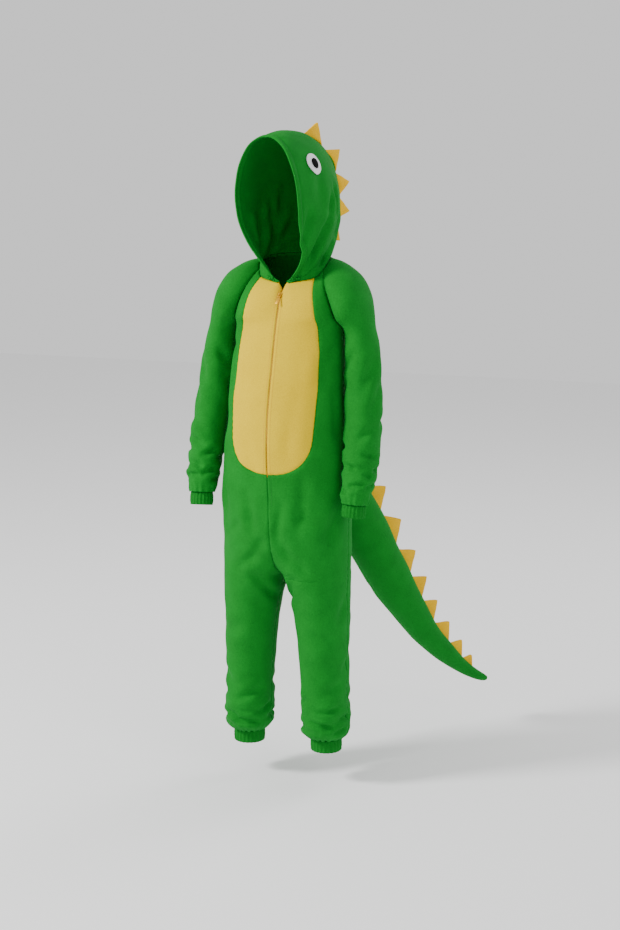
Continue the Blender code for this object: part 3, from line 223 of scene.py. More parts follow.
def border_points(obj):
    """Numbers of the points on the sheet's cut edges."""
    counts = np.zeros(len(obj.data.edges), int)
    loop_edges = np.empty(len(obj.data.loops), int)
    obj.data.loops.foreach_get("edge_index", loop_edges)
    np.add.at(counts, loop_edges, 1)
    ends = np.empty(len(obj.data.edges) * 2, int)
    obj.data.edges.foreach_get("vertices", ends)
    return np.unique(ends.reshape(-1, 2)[counts == 1])


# Neighbouring panels share the direction in which a seam point moves
borders = {node: border_points(obj) for node, obj in sheets.items()}
surface = {node: read_points(obj) for node, obj in sheets.items()}
seam_list = [(node, int(number)) for node, found in borders.items() for number in found]
seam_tree = tree_of([surface[node][0][number] for node, number in seam_list])
shared = []
free_edge = {node: [] for node in PANELS}
for node, number in seam_list:
    found = seam_tree.find_range(surface[node][0][number], SEAM_MEETING)
    met = [seam_list[place] for _, place, _ in found]
    total = sum(surface[other][1][spot] for other, spot in met)
    shared.append(total / np.linalg.norm(total))
    if len({other for other, _ in met}) == 1:
        free_edge[node].append(number)
for (node, number), normal in zip(seam_list, shared):
    surface[node][1][number] = normal


def smooth_step(low, high, value):
    """0 up to low, 1 from high on, with an eased rise between them."""
    t = np.clip((value - low) / (high - low), 0.0, 1.0)
    return t * t * (3 - 2 * t)


def distance_to(node, wanted):
    """Distance of each point of a sheet from some of its own points."""
    points = surface[node][0]
    tree = tree_of([points[number] for number in wanted])
    return np.array([tree.find(point)[2] for point in points])


FOLD_STRENGTH = 1.7
FOLD_SPREAD = 1.25
FOLD_REACH_ROUND = (70, 115)
SWELL_HEIGHT = 0.45
SWELL_AWAY = 2.1
SWELL_WIDTH = 1.1
RIDGE_HEIGHT = 0.0020


def folds(points, centre, rows):
    """Depth of the listed folds at each point of a tube round a centre line. Each fold is a soft
    trough or ridge with a lower swell of the opposite kind beside it, thinning out to its ends."""
    x, y = centre(points[:, 2])
    out = np.hypot(points[:, 0] - x, points[:, 1] - y)
    angle = np.degrees(np.arctan2(points[:, 0] - x, -(points[:, 1] - y)))
    total = np.zeros(len(points))
    for height, turn, depth, reach, half_width, slant, bow in rows:
        apart = (angle - turn + 180) % 360 - 180
        u = np.radians(apart) * out
        v = points[:, 2] + FLOOR_BELOW_SHOULDERS - height
        tilt = math.radians(slant)
        along = (u * math.cos(tilt) + v * math.sin(tilt)) / reach
        across = (v * math.cos(tilt) - u * math.sin(tilt)) / (half_width * FOLD_SPREAD) + bow * along ** 2
        fade = np.clip(1 - along ** 2, 0, 1) ** 1.5 * (1 + 0.25 * np.sin(5 * along + height * 40))
        swell = SWELL_HEIGHT * np.exp(-((np.abs(across) - SWELL_AWAY) / SWELL_WIDTH) ** 2)
        shape = np.exp(-across ** 2) - swell
        total += depth * fade * shape * (1 - smooth_step(*FOLD_REACH_ROUND, np.abs(apart)))
    total *= FOLD_STRENGTH
    return np.where(total > 0, RIDGE_HEIGHT * np.tanh(total / RIDGE_HEIGHT), total)


def slack(points, size, depth):
    """The small uneven sag of soft cloth."""
    x, y, z = (points / size).T
    wave = np.sin(x + 1.7 * np.sin(y * 0.8 + z)) + np.sin(1.3 * y - 0.7 * z + 1.2 * np.sin(x * 0.9))
    wave += np.sin(1.9 * z + 1.1 * x + 0.9 * np.sin(1.4 * y))
    return wave * depth / 3


LEG_X = 0.0775
LEAN = 0.010
LEAN_FROM, LEAN_TO = 0.66, 0.95


def torso_centre(z):
    """The middle of the body, which leans to the costume's left towards the shoulders."""
    return LEAN * smooth_step(LEAN_FROM, LEAN_TO, z + FLOOR_BELOW_SHOULDERS), np.zeros_like(z)


def leg_centre(side):
    """The middle of a leg."""
    return lambda z: (np.full_like(z, side * LEG_X), np.zeros_like(z))


# Each row of folds has its height above the soles, its angle round the tube (0 in front, 90 on the
# costume's left), depth (below 0 is a trough), reach along the fold, half width across it, slant in
# degrees and bow.
LEG_FOLDS = {
    1: ((0.128, 12, -0.0036, 0.031, 0.0046, -16, 0.5), (0.155, 31, -0.0030, 0.029, 0.0042, 12, -0.4),
        (0.137, 80, -0.0034, 0.026, 0.0046, -4, 0.6), (0.143, 18, 0.0024, 0.028, 0.0058, -4, 0.3),
        (0.114, 58, -0.0030, 0.022, 0.0040, 14, 0.4), (0.118, -52, -0.0034, 0.026, 0.0045, 15, 0.5),
        (0.146, -82, -0.0028, 0.030, 0.0050, -10, -0.5), (0.168, -38, -0.0022, 0.030, 0.0055, 20, 0.4),
        (0.126, 146, -0.0034, 0.030, 0.0047, 11, 0.5), (0.150, 186, -0.0030, 0.032, 0.0050, -12, -0.6),
        (0.118, 214, -0.0032, 0.028, 0.0044, 8, 0.4), (0.166, 122, -0.0024, 0.034, 0.0060, 17, 0.5),
        (0.178, -112, -0.0022, 0.030, 0.0060, -14, 0.4), (0.201, 44, -0.0020, 0.040, 0.0075, 23, 0.5),
        (0.228, 168, -0.0022, 0.040, 0.0078, -15, 0.6), (0.246, 96, -0.0018, 0.044, 0.0085, 34, -0.4),
        (0.300, 22, -0.0018, 0.046, 0.0090, -13, 0.6), (0.312, 158, -0.0026, 0.038, 0.0075, 7, 0.7),
        (0.336, 196, -0.0026, 0.036, 0.0075, -9, 0.5), (0.352, 66, -0.0018, 0.055, 0.0090, 62, 0.3),
        (0.398, -38, -0.0026, 0.046, 0.0070, 42, -0.4), (0.372, -58, -0.0022, 0.040, 0.0065, 30, 0.5)),
    -1: ((0.129, -20, -0.0034, 0.025, 0.0045, -12, 0.5), (0.1175, 15, -0.0036, 0.031, 0.0045, -7, 0.4),
         (0.139, 60, -0.0032, 0.028, 0.0046, 17, -0.5), (0.174, 22, -0.0028, 0.036, 0.0060, 25, 0.4),
         (0.149, 2, 0.0022, 0.028, 0.0060, 8, 0.3), (0.122, 96, -0.0030, 0.024, 0.0045, -10, 0.4),
         (0.120, -66, -0.0036, 0.028, 0.0045, 9, 0.5), (0.143, -96, -0.0030, 0.030, 0.0052, -13, -0.4),
         (0.168, -72, -0.0022, 0.034, 0.0060, 18, 0.5), (0.124, 152, -0.0034, 0.030, 0.0048, -9, 0.5),
         (0.147, 190, -0.0030, 0.030, 0.0050, 13, -0.5), (0.119, 222, -0.0030, 0.026, 0.0044, -8, 0.4),
         (0.182, 132, -0.0024, 0.036, 0.0064, -18, 0.5), (0.205, -34, -0.0020, 0.042, 0.0080, -24, 0.4),
         (0.238, 196, -0.0022, 0.040, 0.0080, 14, 0.5), (0.262, -88, -0.0018, 0.046, 0.0090, -32, 0.4),
         (0.304, -16, -0.0018, 0.046, 0.0090, 12, -0.5), (0.310, 172, -0.0026, 0.038, 0.0075, -8, 0.6),
         (0.334, 208, -0.0024, 0.036, 0.0075, 10, 0.5), (0.350, -62, -0.0018, 0.055, 0.0090, -60, 0.3),
         (0.400, 40, -0.0026, 0.046, 0.0070, -44, 0.4), (0.374, 60, -0.0022, 0.040, 0.0065, -28, -0.5)),
}
TORSO_FOLDS = (
    (0.800, 58, -0.0026, 0.075, 0.0085, 80, 0.3), (0.728, 74, -0.0022, 0.080, 0.0095, 98, -0.4),
    (0.800, -60, -0.0026, 0.072, 0.0085, -79, 0.4), (0.716, -76, -0.0022, 0.082, 0.0095, -97, 0.3),
    (0.660, 104, -0.0022, 0.070, 0.0100, 70, 0.4), (0.648, -104, -0.0022, 0.070, 0.0100, -72, 0.4),
    (0.842, 72, -0.0026, 0.034, 0.0070, 52, 0.5), (0.842, -74, -0.0026, 0.034, 0.0070, -50, 0.5),
    (0.524, 50, -0.0022, 0.058, 0.0085, -32, 0.4), (0.506, -48, -0.0022, 0.056, 0.0085, 31, 0.5),
    (0.478, 16, -0.0020, 0.044, 0.0070, -64, 0.4), (0.470, -18, -0.0020, 0.042, 0.0070, 60, 0.4),
    (0.446, 34, -0.0024, 0.040, 0.0070, -48, 0.5), (0.440, -36, -0.0024, 0.040, 0.0070, 46, 0.4),
    (0.586, 88, -0.0020, 0.054, 0.0095, -66, 0.4), (0.574, -90, -0.0020, 0.052, 0.0095, 64, 0.3),
    (0.690, 24, -0.0010, 0.090, 0.0100, 84, 0.3), (0.636, -20, -0.0010, 0.080, 0.0100, -82, 0.3),
    (0.535, -26, -0.0024, 0.066, 0.0080, 97, 0.3), (0.522, 12, -0.0022, 0.056, 0.0070, 80, 0.3),
    (0.556, 38, -0.0024, 0.070, 0.0085, 86, -0.3), (0.512, 66, -0.0022, 0.060, 0.0085, 74, 0.4),
    (0.548, -62, -0.0022, 0.064, 0.0085, -84, 0.4),
    (0.820, 146, -0.0026, 0.070, 0.0100, 70, 0.4), (0.790, 208, -0.0026, 0.074, 0.0100, -72, 0.4),
    (0.700, 164, -0.0020, 0.060, 0.0100, 24, 0.6), (0.652, 198, -0.0022, 0.060, 0.0100, -18, 0.6),
    (0.606, 150, -0.0020, 0.056, 0.0090, -20, 0.5), (0.500, 128, -0.0022, 0.056, 0.0090, -40, 0.5),
    (0.496, 232, -0.0022, 0.056, 0.0090, 38, 0.5), (0.462, 156, -0.0024, 0.040, 0.0075, -52, 0.4),
    (0.458, 204, -0.0024, 0.040, 0.0075, 50, 0.4), (0.870, 178, -0.0018, 0.060, 0.0095, 4, 0.8),
)
GATHER_DEPTH = 0.0011
GATHER_REACH = 0.016
HEM_HEIGHT = 0.090
SEAM_DIP = 0.0013
SEAM_HALF_WIDTH = 0.0026
SEAM_PUCKER = 0.30
PUCKER_LENGTH = 0.0021
UNDERARM = -0.116
CALM_REACH = 0.012
CROTCH_FROM, CROTCH_TO = 0.405, 0.445


def gathers(points, centre, hem, count):
    """Small pleats that run out from where the cloth is gathered into its cuff."""
    x, y = centre(points[:, 2])
    angle = np.arctan2(points[:, 0] - x, -(points[:, 1] - y))
    rise = points[:, 2] - hem
    pleats = np.cos(count * angle + 1.1 * np.sin(3 * angle + 0.5)) * (1 + 0.4 * np.sin(5 * angle))
    return GATHER_DEPTH * pleats * np.exp(-np.clip(rise, 0, None) / GATHER_REACH)


def seam_groove(node):
    """The dip along a sewn seam, with the light puckers of its stitches."""
    free = set(free_edge[node])
    away = distance_to(node, [number for number in borders[node] if number not in free])
    points = surface[node][0]
    along = points[:, 2] + points[:, 0] * 0.7 + points[:, 1]
    pucker = 1 + SEAM_PUCKER * np.sin(along / PUCKER_LENGTH)
    return -SEAM_DIP * np.exp(-(away / SEAM_HALF_WIDTH) ** 2) * pucker


def calm_near(node, meets, reach):
    """0 on the seam with other parts of the suit, rising to 1 away from it, so that those seams stay."""
    wanted = [number for number in borders[node] if meets(surface[node][0][number])]
    return smooth_step(0.0, reach, distance_to(node, wanted)) if wanted else 1.0


def move_out(node, depth):
    """Moves the sheet's points this far outward."""
    points, normals = surface[node]
    shift_points(sheets[node], points + normals * depth[:, None])


def above_underarm(point):
    return point[2] > UNDERARM


def finish_piece(obj, material, slot, body, *nodes):
    """Gives the piece its material and smooth shading, hides the solids that it stands for and hangs it on
    the body that it rides on.
    """
    obj.data.polygons.foreach_set("use_smooth", [True] * len(obj.data.polygons))
    obj.data.materials.clear()
    obj.data.materials.append(material)
    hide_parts(*nodes)
    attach(obj, body)
    return obj


def finish_cloth(node, material, slot):
    """Gives the sheet its wall, its material and its place in the suit."""
    obj = sheets[node]
    wall = obj.modifiers.new("wall", "SOLIDIFY")
    wall.thickness = WALL
    wall.offset = -1.0
    return finish_piece(obj, material, slot, "garment", node)


def fill_in(node, values):
    """Sets constants on a shader node's sockets."""
    for socket, value in values.items():
        node.inputs[socket].default_value = value


def new_material(name, values):
    """A material with the constants of its shader, and its node tree and shader."""
    material = bpy.data.materials.new(name)
    material.use_nodes = True
    shader = material.node_tree.nodes["Principled BSDF"]
    fill_in(shader, values)
    return material, material.node_tree, shader


def add_node(tree, kind, values):
    node = tree.nodes.new("ShaderNode" + kind)
    fill_in(node, values)
    return node


def add_ramp(tree, low, high, *between):
    """A ramp of colours, each given with its position."""
    ramp = tree.nodes.new("ShaderNodeValToRGB")
    elements = ramp.color_ramp.elements
    for number, (position, colour) in enumerate((low, high)):
        elements[number].position = position
        elements[number].color = (*colour, 1.0)
    for position, colour in between:
        elements.new(position).color = (*colour, 1.0)
    return ramp


def wire(tree, *links):
    for source, output, target, socket in links:
        tree.links.new(source.outputs[output], target.inputs[socket])


def fleece(name, deep, mid, light, nap=0.15, mottle=0.25):
    """Short-napped fleece: a fine felted pile that catches the light, clouded where the nap lies
    different ways."""
    material, tree, shader = new_material(name, {
        "Roughness": 0.92, "Specular IOR Level": 0.18, "Sheen Weight": nap, "Sheen Roughness": 0.45,
        "Sheen Tint": (*light, 1.0)})
    place = tree.nodes.new("ShaderNodeTexCoord")
    clouds = add_node(tree, "TexNoise", {"Scale": 30.0, "Detail": 2.0})
    tufts = add_node(tree, "TexNoise", {"Scale": 700.0, "Detail": 4.0, "Roughness": 0.65})
    both = add_node(tree, "Math", {1: mottle})
    both.operation = "MULTIPLY_ADD"
    ramp = add_ramp(tree, (0.36, deep), (0.95, light), (0.62, mid))
    pile = add_node(tree, "Bump", {"Strength": 0.35, "Distance": 0.0006})
    rub = add_node(tree, "Bump", {"Strength": 0.15, "Distance": 0.0010})
    wire(tree,
         (place, "Object", clouds, "Vector"), (place, "Object", tufts, "Vector"),
         (clouds, "Fac", both, 0), (tufts, "Fac", both, 2), (both, "Value", ramp, "Fac"),
         (ramp, "Color", shader, "Base Color"), (clouds, "Fac", rub, "Height"),
         (tufts, "Fac", pile, "Height"), (rub, "Normal", pile, "Normal"), (pile, "Normal", shader, "Normal"))
    return material


green_fleece = fleece("green fleece", (0.000, 0.105, 0.006), (0.000, 0.170, 0.011), (0.000, 0.240, 0.020))

# A cut is the width and length of the piece as it lies flat, and its area
FRONT_CUT = (0.205, 0.920, 0.118)
BACK_CUT = (0.240, 0.955, 0.152)
for word, side in (("left", 1), ("right", -1)):
    for panel, cut in (("front_", FRONT_CUT), ("back_", BACK_CUT)):
        node = panel + word
        points = surface[node][0]
        height = points[:, 2] + FLOOR_BELOW_SHOULDERS
        in_leg = 1 - smooth_step(CROTCH_FROM, CROTCH_TO, height)
        depth = folds(points, leg_centre(side), LEG_FOLDS[side]) * in_leg
        depth += folds(points, torso_centre, TORSO_FOLDS) * (1 - in_leg)
        depth += slack(points, size=0.016, depth=0.0007)
        depth += gathers(points, leg_centre(side), HEM_HEIGHT - FLOOR_BELOW_SHOULDERS, count=19)
        depth *= calm_near(node, above_underarm, CALM_REACH)
        depth += seam_groove(node)
        move_out(node, depth)
        piece = finish_cloth(node, green_fleece, "green_fleece")


# The belly: a yellow fleece panel let into the fronts and split by the zip, sewn in flat with its
# corners rounded below and its top edge caught in the neck seam.
yellow_fleece = fleece("yellow fleece", (0.56, 0.37, 0.0), (0.68, 0.47, 0.0), (0.80, 0.58, 0.0),
                       nap=0.0, mottle=0.15)
for word in ("left", "right"):
    node = "belly_" + word
    points = surface[node][0]
    depth = folds(points, torso_centre, TORSO_FOLDS) + slack(points, size=0.018, depth=0.0005)
    depth *= calm_near(node, above_underarm, CALM_REACH)
    depth += seam_groove(node)
    move_out(node, depth)
    piece = finish_cloth(node, yellow_fleece, "yellow_fleece")


# The sleeves: raglan sleeves of the same green fleece, sewn to the neck, wide in the body and bloused
# over the wrist, where they are gathered into short cuffs.
ARM_HEIGHTS = np.arange(-0.438, -0.125, 0.012)
ARM_BAND = 0.008
ARM_FROM, ARM_TO = -0.150, -0.118
CUFF_OVERLAP = 0.004


def middle_line(points, heights, reach):
    """The middle of a tube at each height, from its own width in a band there."""
    middles = []
    for height in heights:
        band = points[np.abs(points[:, 2] - height) < reach][:, :2]
        middles.append((band.min(axis=0) + band.max(axis=0)) / 2)
    return np.array(middles)


def sleeve_centre(node):
    """The line down the middle of the arm."""
    middles = middle_line(surface[node][0], ARM_HEIGHTS, ARM_BAND)
    return lambda z: (np.interp(z, ARM_HEIGHTS, middles[:, 0]), np.interp(z, ARM_HEIGHTS, middles[:, 1]))


SLEEVE_FOLDS = {
    "sleeve_left": (
        (0.634, -16, -0.0034, 0.020, 0.0042, -8, 0.5), (0.618, 47, -0.0030, 0.014, 0.0038, -27, 0.5),
        (0.654, 50, -0.0032, 0.022, 0.0045, -16, 0.5), (0.625, 88, -0.0034, 0.018, 0.0042, -8, 0.4),
        (0.667, -70, -0.0030, 0.022, 0.0044, 10, 0.5), (0.631, -78, -0.0032, 0.020, 0.0044, -6, 0.4),
        (0.602, 12, -0.0034, 0.024, 0.0042, 10, 0.5), (0.598, 70, -0.0030, 0.018, 0.0040, 6, 0.4),
        (0.588, -36, -0.0030, 0.018, 0.0038, -12, 0.4), (0.643, 20, 0.0020, 0.022, 0.0050, -10, 0.4),
        (0.606, 138, -0.0034, 0.024, 0.0044, 12, 0.5), (0.628, 184, -0.0032, 0.026, 0.0046, -10, 0.5),
        (0.600, 226, -0.0032, 0.022, 0.0044, 8, 0.4), (0.652, 218, -0.0026, 0.026, 0.0050, 14, 0.5),
        (0.660, 148, -0.0026, 0.026, 0.0052, -16, 0.5), (0.686, 250, -0.0024, 0.032, 0.0060, -26, 0.5),
        (0.694, 30, -0.0022, 0.036, 0.0062, 30, 0.5), (0.722, 168, -0.0026, 0.032, 0.0062, 6, 0.6),
        (0.742, 204, -0.0024, 0.032, 0.0062, -10, 0.6), (0.716, 120, -0.0022, 0.030, 0.0062, 24, 0.5),
        (0.756, 60, -0.0020, 0.045, 0.0075, 66, 0.4), (0.798, 34, -0.0022, 0.045, 0.0080, 70, 0.4),
        (0.812, 118, -0.0020, 0.050, 0.0085, 82, 0.4), (0.826, -28, -0.0026, 0.034, 0.0070, 48, 0.5),
        (0.804, 230, -0.0022, 0.046, 0.0080, -64, 0.4), (0.770, -64, -0.0020, 0.040, 0.0075, 56, 0.4)),
    "sleeve_right": (
        (0.646, -70, -0.0032, 0.022, 0.0045, 8, 0.4), (0.612, -66, -0.0036, 0.024, 0.0045, -6, 0.5),
        (0.629, -72, 0.0022, 0.020, 0.0050, 2, 0.4), (0.598, -20, -0.0032, 0.022, 0.0042, 10, 0.5),
        (0.620, -8, -0.0032, 0.022, 0.0044, -12, 0.5), (0.606, 44, -0.0030, 0.020, 0.0042, 12, 0.4),
        (0.640, 34, -0.0030, 0.024, 0.0046, 16, 0.5), (0.662, -14, -0.0026, 0.026, 0.0050, -18, 0.5),
        (0.588, 78, -0.0030, 0.018, 0.0040, -8, 0.4), (0.626, 92, -0.0028, 0.022, 0.0046, -10, 0.4),
        (0.604, 142, -0.0034, 0.024, 0.0044, -11, 0.5), (0.630, 190, -0.0032, 0.026, 0.0046, 9, 0.5),
        (0.600, 232, -0.0032, 0.022, 0.0044, -7, 0.4), (0.654, 226, -0.0026, 0.026, 0.0050, -13, 0.5),
        (0.664, 152, -0.0026, 0.026, 0.0052, 15, 0.5), (0.690, -96, -0.0024, 0.032, 0.0060, 24, 0.5),
        (0.698, -24, -0.0022, 0.036, 0.0062, -28, 0.5), (0.724, 172, -0.0026, 0.032, 0.0062, -7, 0.6),
        (0.744, 208, -0.0024, 0.032, 0.0062, 11, 0.6), (0.718, 236, -0.0022, 0.030, 0.0062, -22, 0.5),
        (0.758, -56, -0.0020, 0.045, 0.0075, -66, 0.4), (0.800, -34, -0.0022, 0.045, 0.0080, -70, 0.4),
        (0.812, -112, -0.0020, 0.050, 0.0085, -80, 0.4), (0.826, 30, -0.0026, 0.034, 0.0070, -48, 0.5),
        (0.804, 130, -0.0022, 0.046, 0.0080, 64, 0.4), (0.770, 66, -0.0020, 0.040, 0.0075, -56, 0.4)),
}
for node, rows in SLEEVE_FOLDS.items():
    points = surface[node][0]
    centre = sleeve_centre(node)
    in_arm = 1 - smooth_step(ARM_FROM, ARM_TO, points[:, 2])
    depth = folds(points, centre, rows) * in_arm + slack(points, size=0.015, depth=0.0007)
    depth += gathers(points, centre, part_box(node)[0].z + CUFF_OVERLAP, count=16) * in_arm
    depth *= calm_near(node, above_underarm, CALM_REACH)
    depth += seam_groove(node)
    move_out(node, depth)
    piece = finish_cloth(node, green_fleece, "green_fleece")


# The hood: two halves of green fleece joined over the crown and sewn to the neck. Its front edge is
# turned under and topstitched, and it is thrown into long folds where the neck seam pulls it in.
HOOD_CENTRE = (0.004, 0.048)
HOOD_FOLDS = (
    (1.040, 46, -0.0075, 0.060, 0.0066, 62, 0.5), (1.012, 60, -0.0050, 0.042, 0.0056, 48, 0.4),
    (1.062, 30, -0.0042, 0.048, 0.0056, 76, -0.4), (1.118, 84, -0.0034, 0.042, 0.0056, 86, 0.4),
    (1.105, 66, -0.0034, 0.046, 0.0060, 72, 0.4), (1.076, 96, -0.0026, 0.040, 0.0062, 58, 0.5),
    (1.020, 98, -0.0030, 0.030, 0.0056, 30, 0.5), (1.150, 48, -0.0016, 0.050, 0.0075, 80, 0.3),
    (1.036, -76, -0.0044, 0.054, 0.0062, -60, -0.5), (1.012, -92, -0.0034, 0.040, 0.0056, -46, 0.4),
    (1.058, -60, -0.0028, 0.044, 0.0056, -76, 0.4), (1.112, -112, -0.0024, 0.040, 0.0058, -84, 0.4),
    (1.100, -94, -0.0022, 0.042, 0.0060, -70, 0.4), (1.070, -126, -0.0026, 0.038, 0.0062, -56, 0.5),
    (1.040, 136, -0.0030, 0.034, 0.0062, 18, 0.6), (1.046, 206, -0.0030, 0.034, 0.0062, -16, 0.6),
    (1.078, 160, -0.0022, 0.036, 0.0066, 30, 0.5), (1.086, 190, -0.0020, 0.036, 0.0066, -34, 0.5),
)
CROWN_FROM, CROWN_TO = 1.165, 1.205
NECK_TOP = 0.02
NECK_CALM = 0.010
HEM_WIDTH = 0.0100
HEM_RISE = 0.0018
STITCH_DIP = 0.0016
STITCH_HALF_WIDTH = 0.0016


def hood_centre(z):
    """The middle of the hood."""
    return np.full_like(z, HOOD_CENTRE[0]), np.full_like(z, HOOD_CENTRE[1])


def at_neck(point):
    return point[2] < NECK_TOP


for word in ("left", "right"):
    node = "hood_" + word
    points = surface[node][0]
    below_crown = 1 - smooth_step(CROWN_FROM, CROWN_TO, points[:, 2] + FLOOR_BELOW_SHOULDERS)
    from_rim = distance_to(node, free_edge[node])
    depth = folds(points, hood_centre, HOOD_FOLDS) * below_crown
    depth += slack(points, size=0.017, depth=0.0008)
    depth *= calm_near(node, at_neck, NECK_CALM)
    stitched = np.exp(-((from_rim - HEM_WIDTH) / STITCH_HALF_WIDTH) ** 2)
    turned = 1 - smooth_step(HEM_WIDTH - 0.003, HEM_WIDTH + 0.0005, from_rim)
    depth += HEM_RISE * turned - STITCH_DIP * stitched
    depth += seam_groove(node)
    move_out(node, depth)
    piece = finish_cloth(node, green_fleece, "green_fleece")


# The cuffs: tubes of the same green fleece shirred on rows of elastic thread, which draw them into
# fine ribs, sewn to the gathered ends of the sleeves and legs.
def packed_copy(node, bend=40):
    """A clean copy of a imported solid, its triangles joined into four-sided faces."""
    mesh = packed_mesh(node)
    join_faces(mesh, bend)
    return mesh


def crease_edges(mesh, sharper_than, amount):
    """Holds the edges that bend more than this many degrees when the mesh is rounded."""
    layer = mesh.edges.layers.float.new("crease_edge")
    for edge in mesh.edges:
        if edge.calc_face_angle(0) > math.radians(sharper_than):
            edge[layer] = amount


# The cuffs' material is the green fleece made darker all over, which is painted shade on the shirred cuffs.
cuff_fleece_painted_shade = fleece("green cuff fleece with painted shade", (0.000, 0.092, 0.005), (0.000, 0.150, 0.009),
                     (0.000, 0.210, 0.016), nap=0.08)
ELASTIC_ROWS = 3
ELASTIC_DIP = 0.0006
ELASTIC_HALF_WIDTH = 0.0011
WRIST_CUFF_CUT = (0.152, 0.025, 0.0037)
ANKLE_CUFF_CUT = (0.205, 0.026, 0.0052)
for cuff, cut, tube in (("wrist_cuff_", WRIST_CUFF_CUT, "sleeve_"),
                        ("ankle_cuff_", ANKLE_CUFF_CUT, "back_")):
    for word in ("left", "right"):
        node = cuff + word
        mesh = packed_copy(node)
        crease_edges(mesh, sharper_than=62, amount=0.75)
        piece = rounded(new_piece("ribbed_" + node, mesh), 2)
        points = read_points(piece)[0]
        low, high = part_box(node)
        middle = np.array((low + high) / 2)
        for row in range(ELASTIC_ROWS):
            height = low.z + (high.z - low.z) * (row + 0.8) / (ELASTIC_ROWS + 0.6)
            near = np.exp(-((points[:, 2] - height) / ELASTIC_HALF_WIDTH) ** 2)
            outward = points - middle
            outward[:, 2] = 0
            outward /= np.linalg.norm(outward, axis=1)[:, None]
            points = points - outward * (near * ELASTIC_DIP)[:, None]
        shift_points(piece, points)
        finish_piece(piece, cuff_fleece_painted_shade, "green_cuff", "garment", node)


# The tail: two long green fleece pieces sewn into a tapering tube, with the spikes caught in its top
# seam, stuffed with polyester fibre and sewn to the seat.
TAIL_FOLDS = (
    (0.030, 40, -0.0040, 0.034, 0.0070, 12, 0.5), (0.044, 100, -0.0036, 0.034, 0.0075, -14, 0.5),
    (0.036, 170, -0.0040, 0.036, 0.0075, 8, 0.5), (0.050, 240, -0.0036, 0.034, 0.0075, 16, 0.5),
    (0.034, 310, -0.0040, 0.034, 0.0070, -10, 0.5), (0.084, 70, -0.0028, 0.040, 0.0085, 30, 0.4),
    (0.098, 140, -0.0026, 0.036, 0.0085, -26, 0.5), (0.092, 265, -0.0028, 0.040, 0.0085, -28, 0.4),
    (0.140, 100, -0.0024, 0.036, 0.0090, 20, 0.5), (0.150, 225, -0.0024, 0.036, 0.0090, -22, 0.5),
    (0.190, 60, -0.0022, 0.030, 0.0085, -32, 0.4), (0.205, 160, -0.0024, 0.034, 0.0090, 12, 0.5),
    (0.200, 290, -0.0022, 0.030, 0.0085, 30, 0.4), (0.250, 110, -0.0020, 0.030, 0.0080, -20, 0.5),
    (0.262, 240, -0.0020, 0.030, 0.0080, 22, 0.5), (0.305, 80, -0.0018, 0.026, 0.0075, 24, 0.5),
    (0.320, 190, -0.0020, 0.026, 0.0075, -12, 0.5), (0.330, 280, -0.0018, 0.026, 0.0075, -26, 0.5),
    (0.375, 120, -0.0018, 0.022, 0.0065, 18, 0.5), (0.392, 250, -0.0018, 0.022, 0.0065, -18, 0.5),
    (0.440, 90, -0.0015, 0.018, 0.0055, -16, 0.5), (0.455, 220, -0.0015, 0.018, 0.0055, 16, 0.5),
)
TAIL_CALM = 0.28
TAIL_BAND_STEP = 0.015
TAIL_BAND = 0.012
TAIL_ROOT_POINTS = 400
ROOT_FADE = 0.020
HOOD_SPIKES = ["hood_spike_%d" % number for number in range(1, 6)]
TAIL_SPIKES = ["tail_spike_%d" % number for number in range(1, 9)]
mesh = packed_copy("tail")
crease_edges(mesh, sharper_than=75, amount=0.4)
tail = rounded(new_piece("stuffed_tail", mesh), 3)
points, normals = read_points(tail)

# The tail is laid along z, with the spikes' side towards its back, to place its folds and seams
spike_middles = np.array([(sum(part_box(node), Vector()) / 2) for node in TAIL_SPIKES])
tail_root = points[np.argsort(points[:, 1])[:TAIL_ROOT_POINTS]].mean(axis=0)
tail_tip = points[np.argmin(points[:, 2])]
chord = Vector(tail_tip - tail_root).normalized()
above = Vector(spike_middles.mean(axis=0) - (tail_root + tail_tip) / 2)
above = (above - chord * above.dot(chord)).normalized()
aside = chord.cross(above)
axes = np.array((aside, -above, chord))
laid = (points - tail_root) @ axes.T
bands = np.arange(0.0, float(laid[:, 2].max()) - 0.01, TAIL_BAND_STEP)
middles = middle_line(laid, bands, TAIL_BAND)
laid[:, 2] -= FLOOR_BELOW_SHOULDERS


def tail_middle(z):
    """The middle of the laid tail."""
    way = z + FLOOR_BELOW_SHOULDERS
    return np.interp(way, bands, middles[:, 0]), np.interp(way, bands, middles[:, 1])


depth = TAIL_CALM * folds(laid, tail_middle, TAIL_FOLDS) + slack(points, size=0.024, depth=0.0012)
x, y = tail_middle(laid[:, 2])
turn = np.arctan2(laid[:, 0] - x, -(laid[:, 1] - y))
out = np.hypot(laid[:, 0] - x, laid[:, 1] - y)
for seam_turn in (0.0, math.pi):
    away = ((turn - seam_turn + math.pi) % (2 * math.pi) - math.pi) * out
    depth -= SEAM_DIP * np.exp(-(away / SEAM_HALF_WIDTH) ** 2)
from_root = np.clip((laid[:, 2] + FLOOR_BELOW_SHOULDERS) / ROOT_FADE, 0, 1)
shift_points(tail, points + normals * (depth * from_root)[:, None])
finish_piece(tail, green_fleece, "green_fleece", "garment", "tail")


# The spikes: three-cornered yellow plush pieces, sewn face to face, turned, lightly padded, and caught
# by their straight side in the centre seam of the hood or the top seam of the tail.
spike_fleece = fleece("spike plush", (0.48, 0.23, 0.0), (0.70, 0.38, 0.0), (0.84, 0.49, 0.0),
                      nap=0.0, mottle=0.55)
BASE_REACH = 0.0015
BASE_SINK = 0.0028


def skin_of(obj):
    """The object's surface, to find the nearest place on it."""
    mesh = bmesh.new()
    mesh.from_mesh(obj.data)
    skin = BVHTree.FromBMesh(mesh)
    mesh.free()
    return skin


